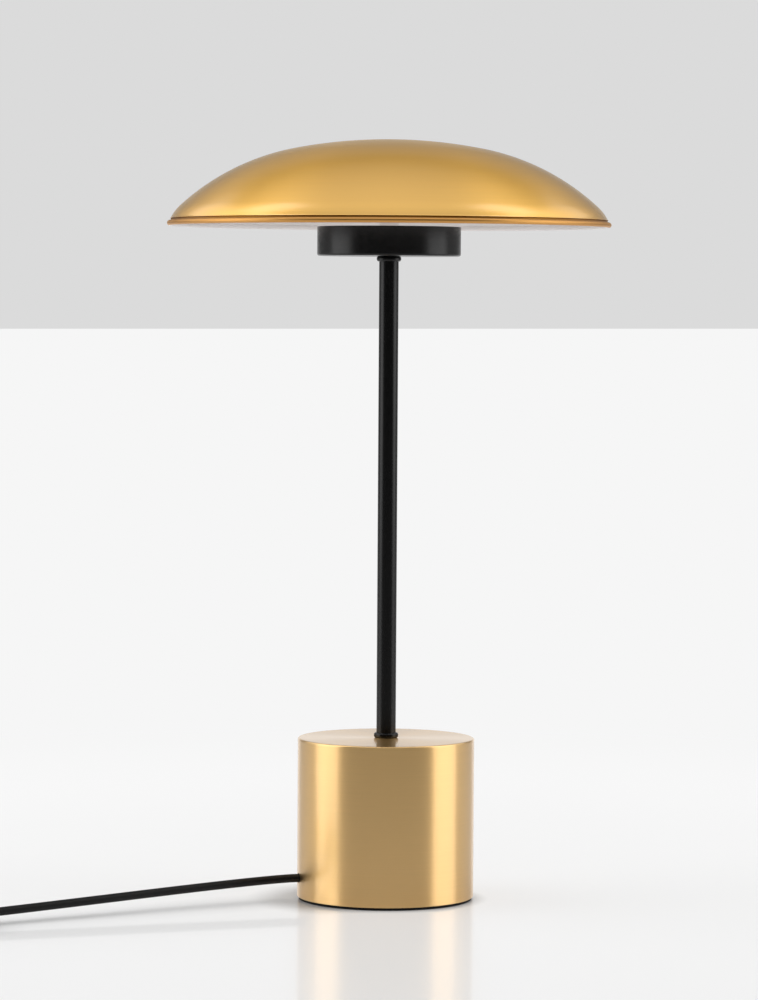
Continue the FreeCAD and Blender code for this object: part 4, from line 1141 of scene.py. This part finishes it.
# ------------------------------------------------------------------------------ base
@dataclass
class DrumBase:
    """Brass cup with the lead's hole and the bush behind it.

    Attributes:
        wall: Wall thickness.
        top: Thickness of the top.
        edge: Rounding of the top edge.
        heel: Rounding of the bottom edge.
        inner_round: Fillet inside the top.
        flat_end: From the outer face in to the last ring of points on the flat top.
        hole_r: Radius of the lead's hole.
        hole_band: Half the height of the strip of wall round the hole, in radii of the hole.
        bore: Radius of the rod's hole.
        exit_turn: Degrees from -X towards the front.
        exit_z: Height of the lead's way out.
        play: Gap between hole and bush.
        collar_r: Radius of the bush's collar behind the wall.
        collar_t: Thickness of that collar.
        collar_gap: Gap between it and the curved wall.
        collar_round: Rounding of its rear edge.
        sunk: How far the bush's mouth lies inside the outer face.
        rounding_step: Largest angle between two points on a rounded edge of the cup.
        segments: Steps round the axis.
        hole_segments: Steps round the hole.
        bush_segments: Steps round the bush.
    """

    wall: float = 1.5 * MM
    top: float = 2.5 * MM
    edge: float = 1.0 * MM
    heel: float = 0.4 * MM
    inner_round: float = 1.5 * MM
    flat_end: float = 4 * MM
    hole_r: float = 3.0 * MM
    hole_band: float = 1.5
    bore: float = 4.3 * MM
    exit_turn: float = 12.0
    exit_z: float = 12.6 * MM
    play: float = 0.1 * MM
    collar_r: float = 5.2 * MM
    collar_t: float = 2.0 * MM
    collar_gap: float = 0.35 * MM
    collar_round: float = 0.3 * MM
    sunk: float = 0.2 * MM
    rounding_step: float = math.radians(6)
    segments: int = 256
    hole_segments: int = 48
    bush_segments: int = 64

    def out(self, from_axis: float) -> Matrix:
        """Place on the lead's way out, with +Z pointing outwards.

        Args:
            from_axis: Distance from the lamp's axis.

        Returns:
            The placement.
        """
        turn = Matrix.Rotation(math.radians(180 + self.exit_turn), 4, "Z")
        shift = Matrix.Translation((from_axis, 0, self.exit_z))
        return turn @ shift @ Matrix.Rotation(math.pi / 2, 4, "Y")

    def shell(self) -> None:
        """The brass cup with the lead's hole cut through its wall."""
        r, z0, z1 = extent("base_shell")
        inner, under = r - self.wall, z1 - self.top
        band = self.hole_band * self.hole_r
        above, below = self.exit_z + band, self.exit_z - band
        outline = rounded_outline([
            (self.bore, z1, 0), (r - self.flat_end, z1, 0), (r, z1, self.edge), (r, above, 0),
            (r, below, 0), (r, z0, self.heel), (inner, z0, 0), (inner, below, 0),
            (inner, above, 0), (inner, under, self.inner_round), (self.bore, under, 0)],
            self.rounding_step)
        made = finished_object("base_drum", lathe(outline, self.segments), BRUSHED_BRASS)
        half = 2 * self.wall
        bar = lathe([(0, -half), (self.hole_r, -half), (self.hole_r, half), (0, half)],
                    self.hole_segments)
        bmesh.ops.transform(bar, matrix=self.out(r - self.wall / 2), verts=bar.verts)
        cut_away(made, finished_object("hole_cutter", bar, BRUSHED_BRASS))
        placed(made, LAMP, "brass_satin", "base_shell")

    def bush(self) -> None:
        """Black bush in the hole, with its collar behind the wall."""
        ring_r, cord_r = self.hole_r - self.play, Lead.diameter / 2
        front = -self.wall - self.collar_gap
        back = front - self.collar_t
        mesh = lathe(rounded_outline([
            (cord_r, -self.sunk, 0), (ring_r, -self.sunk, 0), (ring_r, front, 0),
            (self.collar_r, front, 0), (self.collar_r, back, self.collar_round),
            (cord_r, back, 0)]), self.bush_segments)
        bmesh.ops.transform(mesh, matrix=self.out(extent("base_shell")[0]), verts=mesh.verts)
        made = finished_object("lead_bush", mesh, BLACK_PLASTIC)
        placed(made, LAMP, "black_plastic", "cord_bush")

    def build(self) -> None:
        """Make the base."""
        self.shell()
        self.bush()


# ------------------------------------------------------------------------------ under the shade
@dataclass
class LightEngine:
    """Light side of the can: the opal diffuser that closes it and the phosphor on its chips.

    Attributes:
        rim_round: Rounding of the diffuser's outer edges.
        post_gap: Gap between the diffuser and the post.
        chip_count: Light emitting chips on the board.
        chip_ring: Radius of their ring.
        lens_r: Radius of the phosphor dome on each chip.
        lens_h: Height of that dome.
        lens_segments: Steps round a dome.
        segments: Steps round the axis.
    """

    rim_round: float = 0.3 * MM
    post_gap: float = 0.3 * MM
    chip_count: int = 24
    chip_ring: float = 27.0 * MM
    lens_r: float = 1.15 * MM
    lens_h: float = 0.35 * MM
    lens_segments: int = 24
    segments: int = 128

    def diffuser(self) -> None:
        """Opal ring that closes the can."""
        r, z0, z1 = extent("diffuser")
        hole = extent("centre_post")[0] + self.post_gap
        outline = rounded_outline([(hole, z1, 0), (r, z1, self.rim_round),
                                   (r, z0, self.rim_round), (hole, z0, 0)])
        made = finished_object("opal_ring", lathe(outline, self.segments), OPAL)
        placed(made, LAMP, "opal_acrylic", "diffuser")

    def lay_out_domes(self, tree: Tree, entry: Node) -> Socket:
        """Set a flattened ball on each point of a ring.

        Args:
            tree: The node group's tree.
            entry: Its input node.

        Returns:
            The balls.
        """
        ring = add(tree, "GeometryNodeMeshCircle", inputs={
            "Vertices": entry.outputs["Chips"], "Radius": entry.outputs["Ring radius"]})
        dome = add(tree, "GeometryNodeMeshUVSphere", inputs={
            "Segments": self.lens_segments, "Rings": self.lens_segments // 2, "Radius": 1.0})
        return add(tree, "GeometryNodeInstanceOnPoints", inputs={
            "Points": ring.outputs[0], "Instance": dome.outputs[0],
            "Scale": entry.outputs["Dome size"]}).outputs[0]

    def phosphor(self) -> None:
        """Small yellow domes on the chips, one to each."""
        place = (Matrix.Translation((0, 0, extent("led_chips")[2]))
                 @ Matrix.Rotation(math.pi / self.chip_count, 4, "Z"))
        made = grown("chip_phosphor", {
            "Chips": self.chip_count, "Ring radius": self.chip_ring,
            "Dome size": (self.lens_r, self.lens_r, self.lens_h)},
            PHOSPHOR, self.lay_out_domes, place)
        placed(made, LAMP, "led_phosphor")

    def build(self) -> None:
        """Make the pieces under the shade."""
        self.diffuser()
        self.phosphor()


# ------------------------------------------------------------------------------ switch and plug
@dataclass
class SwitchDetails:
    """Grip ridges on the rocker of the switch on the lead.

    Attributes:
        pivot: Middle of the rocker's pin.
        way: Direction of the lead through the switch, in radians from +X.
        tilt: Degrees that the rocker leans at rest.
        top: Height of the rocker's top above the pin at its middle.
        count: Ridges at each end.
        first: Distance of the first ridge from the middle.
        spacing: From ridge to ridge.
        ridge_r: Radius of a ridge.
        ridge_l: Length of a ridge.
        ridge_sides: Sides of a ridge's round section.
        sunk: How far a ridge's middle lies under the rocker's face.
    """

    pivot: Place = (-0.2486768, -0.1305265, 0.0104)
    way: float = math.atan2(-0.535692, -0.844413)
    tilt: float = 8.0
    top: float = 3.4 * MM
    count: int = 5
    first: float = 5.0 * MM
    spacing: float = 0.95 * MM
    ridge_r: float = 0.3 * MM
    ridge_l: float = 8.0 * MM
    ridge_sides: int = 20
    sunk: float = 0.12 * MM

    def lay_out_ridges(self, tree: Tree, entry: Node) -> Socket:
        """Lay bars on a row of points and on its mirror image.

        Args:
            tree: The node group's tree.
            entry: Its input node.

        Returns:
            The bars.
        """
        line = row(tree, entry, "Ridges")
        mirrored = add(tree, "GeometryNodeTransform", inputs={0: line, "Scale": (-1, 1, 1)})
        both = add(tree, "GeometryNodeJoinGeometry")
        for end in (line, mirrored.outputs[0]):
            tree.links.new(end, both.inputs[0])
        bar = add(tree, "GeometryNodeMeshCylinder", inputs={
            "Vertices": self.ridge_sides, "Radius": entry.outputs["Radius"],
            "Depth": entry.outputs["Length"]})
        laid = add(tree, "GeometryNodeTransform", inputs={
            0: bar.outputs[0], "Rotation": (math.pi / 2, 0, 0)})
        return add(tree, "GeometryNodeInstanceOnPoints", inputs={
            "Points": both.outputs[0], "Instance": laid.outputs[0]}).outputs[0]

    def ridges(self) -> None:
        """Fine ridges across both ends of the rocker."""
        slope = math.radians(self.tilt)
        place = (Matrix.Translation(self.pivot) @ Matrix.Rotation(self.way, 4, "Z")
                 @ Matrix.Rotation(-slope, 4, "Y"))
        made = grown("rocker_ridges", {
            "Ridges": self.count,
            "First": (self.first, 0.0, self.top + self.first * math.tan(slope) - self.sunk),
            "Step": (self.spacing * math.cos(slope), 0.0, self.spacing * math.sin(slope)),
            "Radius": self.ridge_r, "Length": self.ridge_l},
            BLACK_PLASTIC, self.lay_out_ridges, place)
        placed(made, ROCKER, "black_plastic")


@dataclass
class PlugDetails:
    """Ribs round the plug's tapered tail.

    Attributes:
        count: Number of ribs.
        tip_r: Tail's radius at its tip.
        root_r: Tail's radius at the plug.
        length: Length of the tail.
        first: Distance of the first rib from the tip.
        spacing: From rib to rib.
        rib_r: Radius of a rib's section.
        sunk: How far the middle of that section lies under the tail's surface.
        ring_steps: Steps round a rib.
        section_steps: Steps round its section.
    """

    count: int = 6
    tip_r: float = 3.0 * MM
    root_r: float = 4.8 * MM
    length: float = 22.0 * MM
    first: float = 2.5 * MM
    spacing: float = 3.0 * MM
    rib_r: float = 0.55 * MM
    sunk: float = 0.1 * MM
    ring_steps: int = 40
    section_steps: int = 16

    def lay_out_ribs(self, tree: Tree, entry: Node) -> Socket:
        """Sweep a round section along circles that grow from point to point.

        Args:
            tree: The node group's tree.
            entry: Its input node.

        Returns:
            The rings.
        """
        line = row(tree, entry, "Ribs")
        along = split(tree, add(tree, "GeometryNodeInputPosition").outputs[0])[2]
        size = maths(tree, "MULTIPLY_ADD", along, entry.outputs["Taper"],
                     entry.outputs["Tip radius"])
        circle = add(tree, "GeometryNodeCurvePrimitiveCircle", inputs={
            "Resolution": self.ring_steps, "Radius": 1.0})
        rings = add(tree, "GeometryNodeInstanceOnPoints", inputs={
            "Points": line, "Instance": circle.outputs[0], "Scale": size})
        plain = add(tree, "GeometryNodeRealizeInstances", inputs={0: rings.outputs[0]})
        section = add(tree, "GeometryNodeCurvePrimitiveCircle", inputs={
            "Resolution": self.section_steps, "Radius": entry.outputs["Rib radius"]})
        return add(tree, "GeometryNodeCurveToMesh", inputs={
            "Curve": plain.outputs[0], "Profile Curve": section.outputs[0]}).outputs[0]

    def ribs(self, tip: Place) -> None:
        """Rings that grow with the tail, from its tip to the plug.

        Args:
            tip: Where the lead goes into the tail.
        """
        place = Matrix.Translation(tip) @ Matrix.Rotation(-math.pi / 2, 4, "X")
        made = grown("plug_tail_ribs", {
            "Ribs": self.count, "First": (0.0, 0.0, self.first), "Step": (0.0, 0.0, self.spacing),
            "Taper": (self.root_r - self.tip_r) / self.length,
            "Tip radius": self.tip_r - self.sunk, "Rib radius": self.rib_r},
            BLACK_PLASTIC, self.lay_out_ribs, place)
        placed(made, LAMP, "black_plastic")


# ------------------------------------------------------------------------------ the other nodes
def dress_frame() -> None:
    """Give every node of the frame the finish of its slot."""
    for part in frame["record"]["subparts"]:
        node = frame["nodes"].get(part["node"])
        if node is None:
            continue
        finish = SLOT_FINISHES[part["material_slot"]]
        node.data.materials.clear()
        node.data.materials.append(finish.material())
        log.info("%s wears %s", part["node"], finish.name)


def main() -> None:
    """Build the studio and every sub-assembly in order."""
    logging.basicConfig(level=logging.INFO, format="%(name)s: %(message)s")
    Studio().build()
    lead = Lead()
    lead.build()
    dress_frame()
    Shade().build()
    StemAndCan().build()
    DrumBase().build()
    LightEngine().build()
    SwitchDetails().ridges()
    PlugDetails().ribs(lead.end_route[-1])


if __name__ == "__main__":
    main()
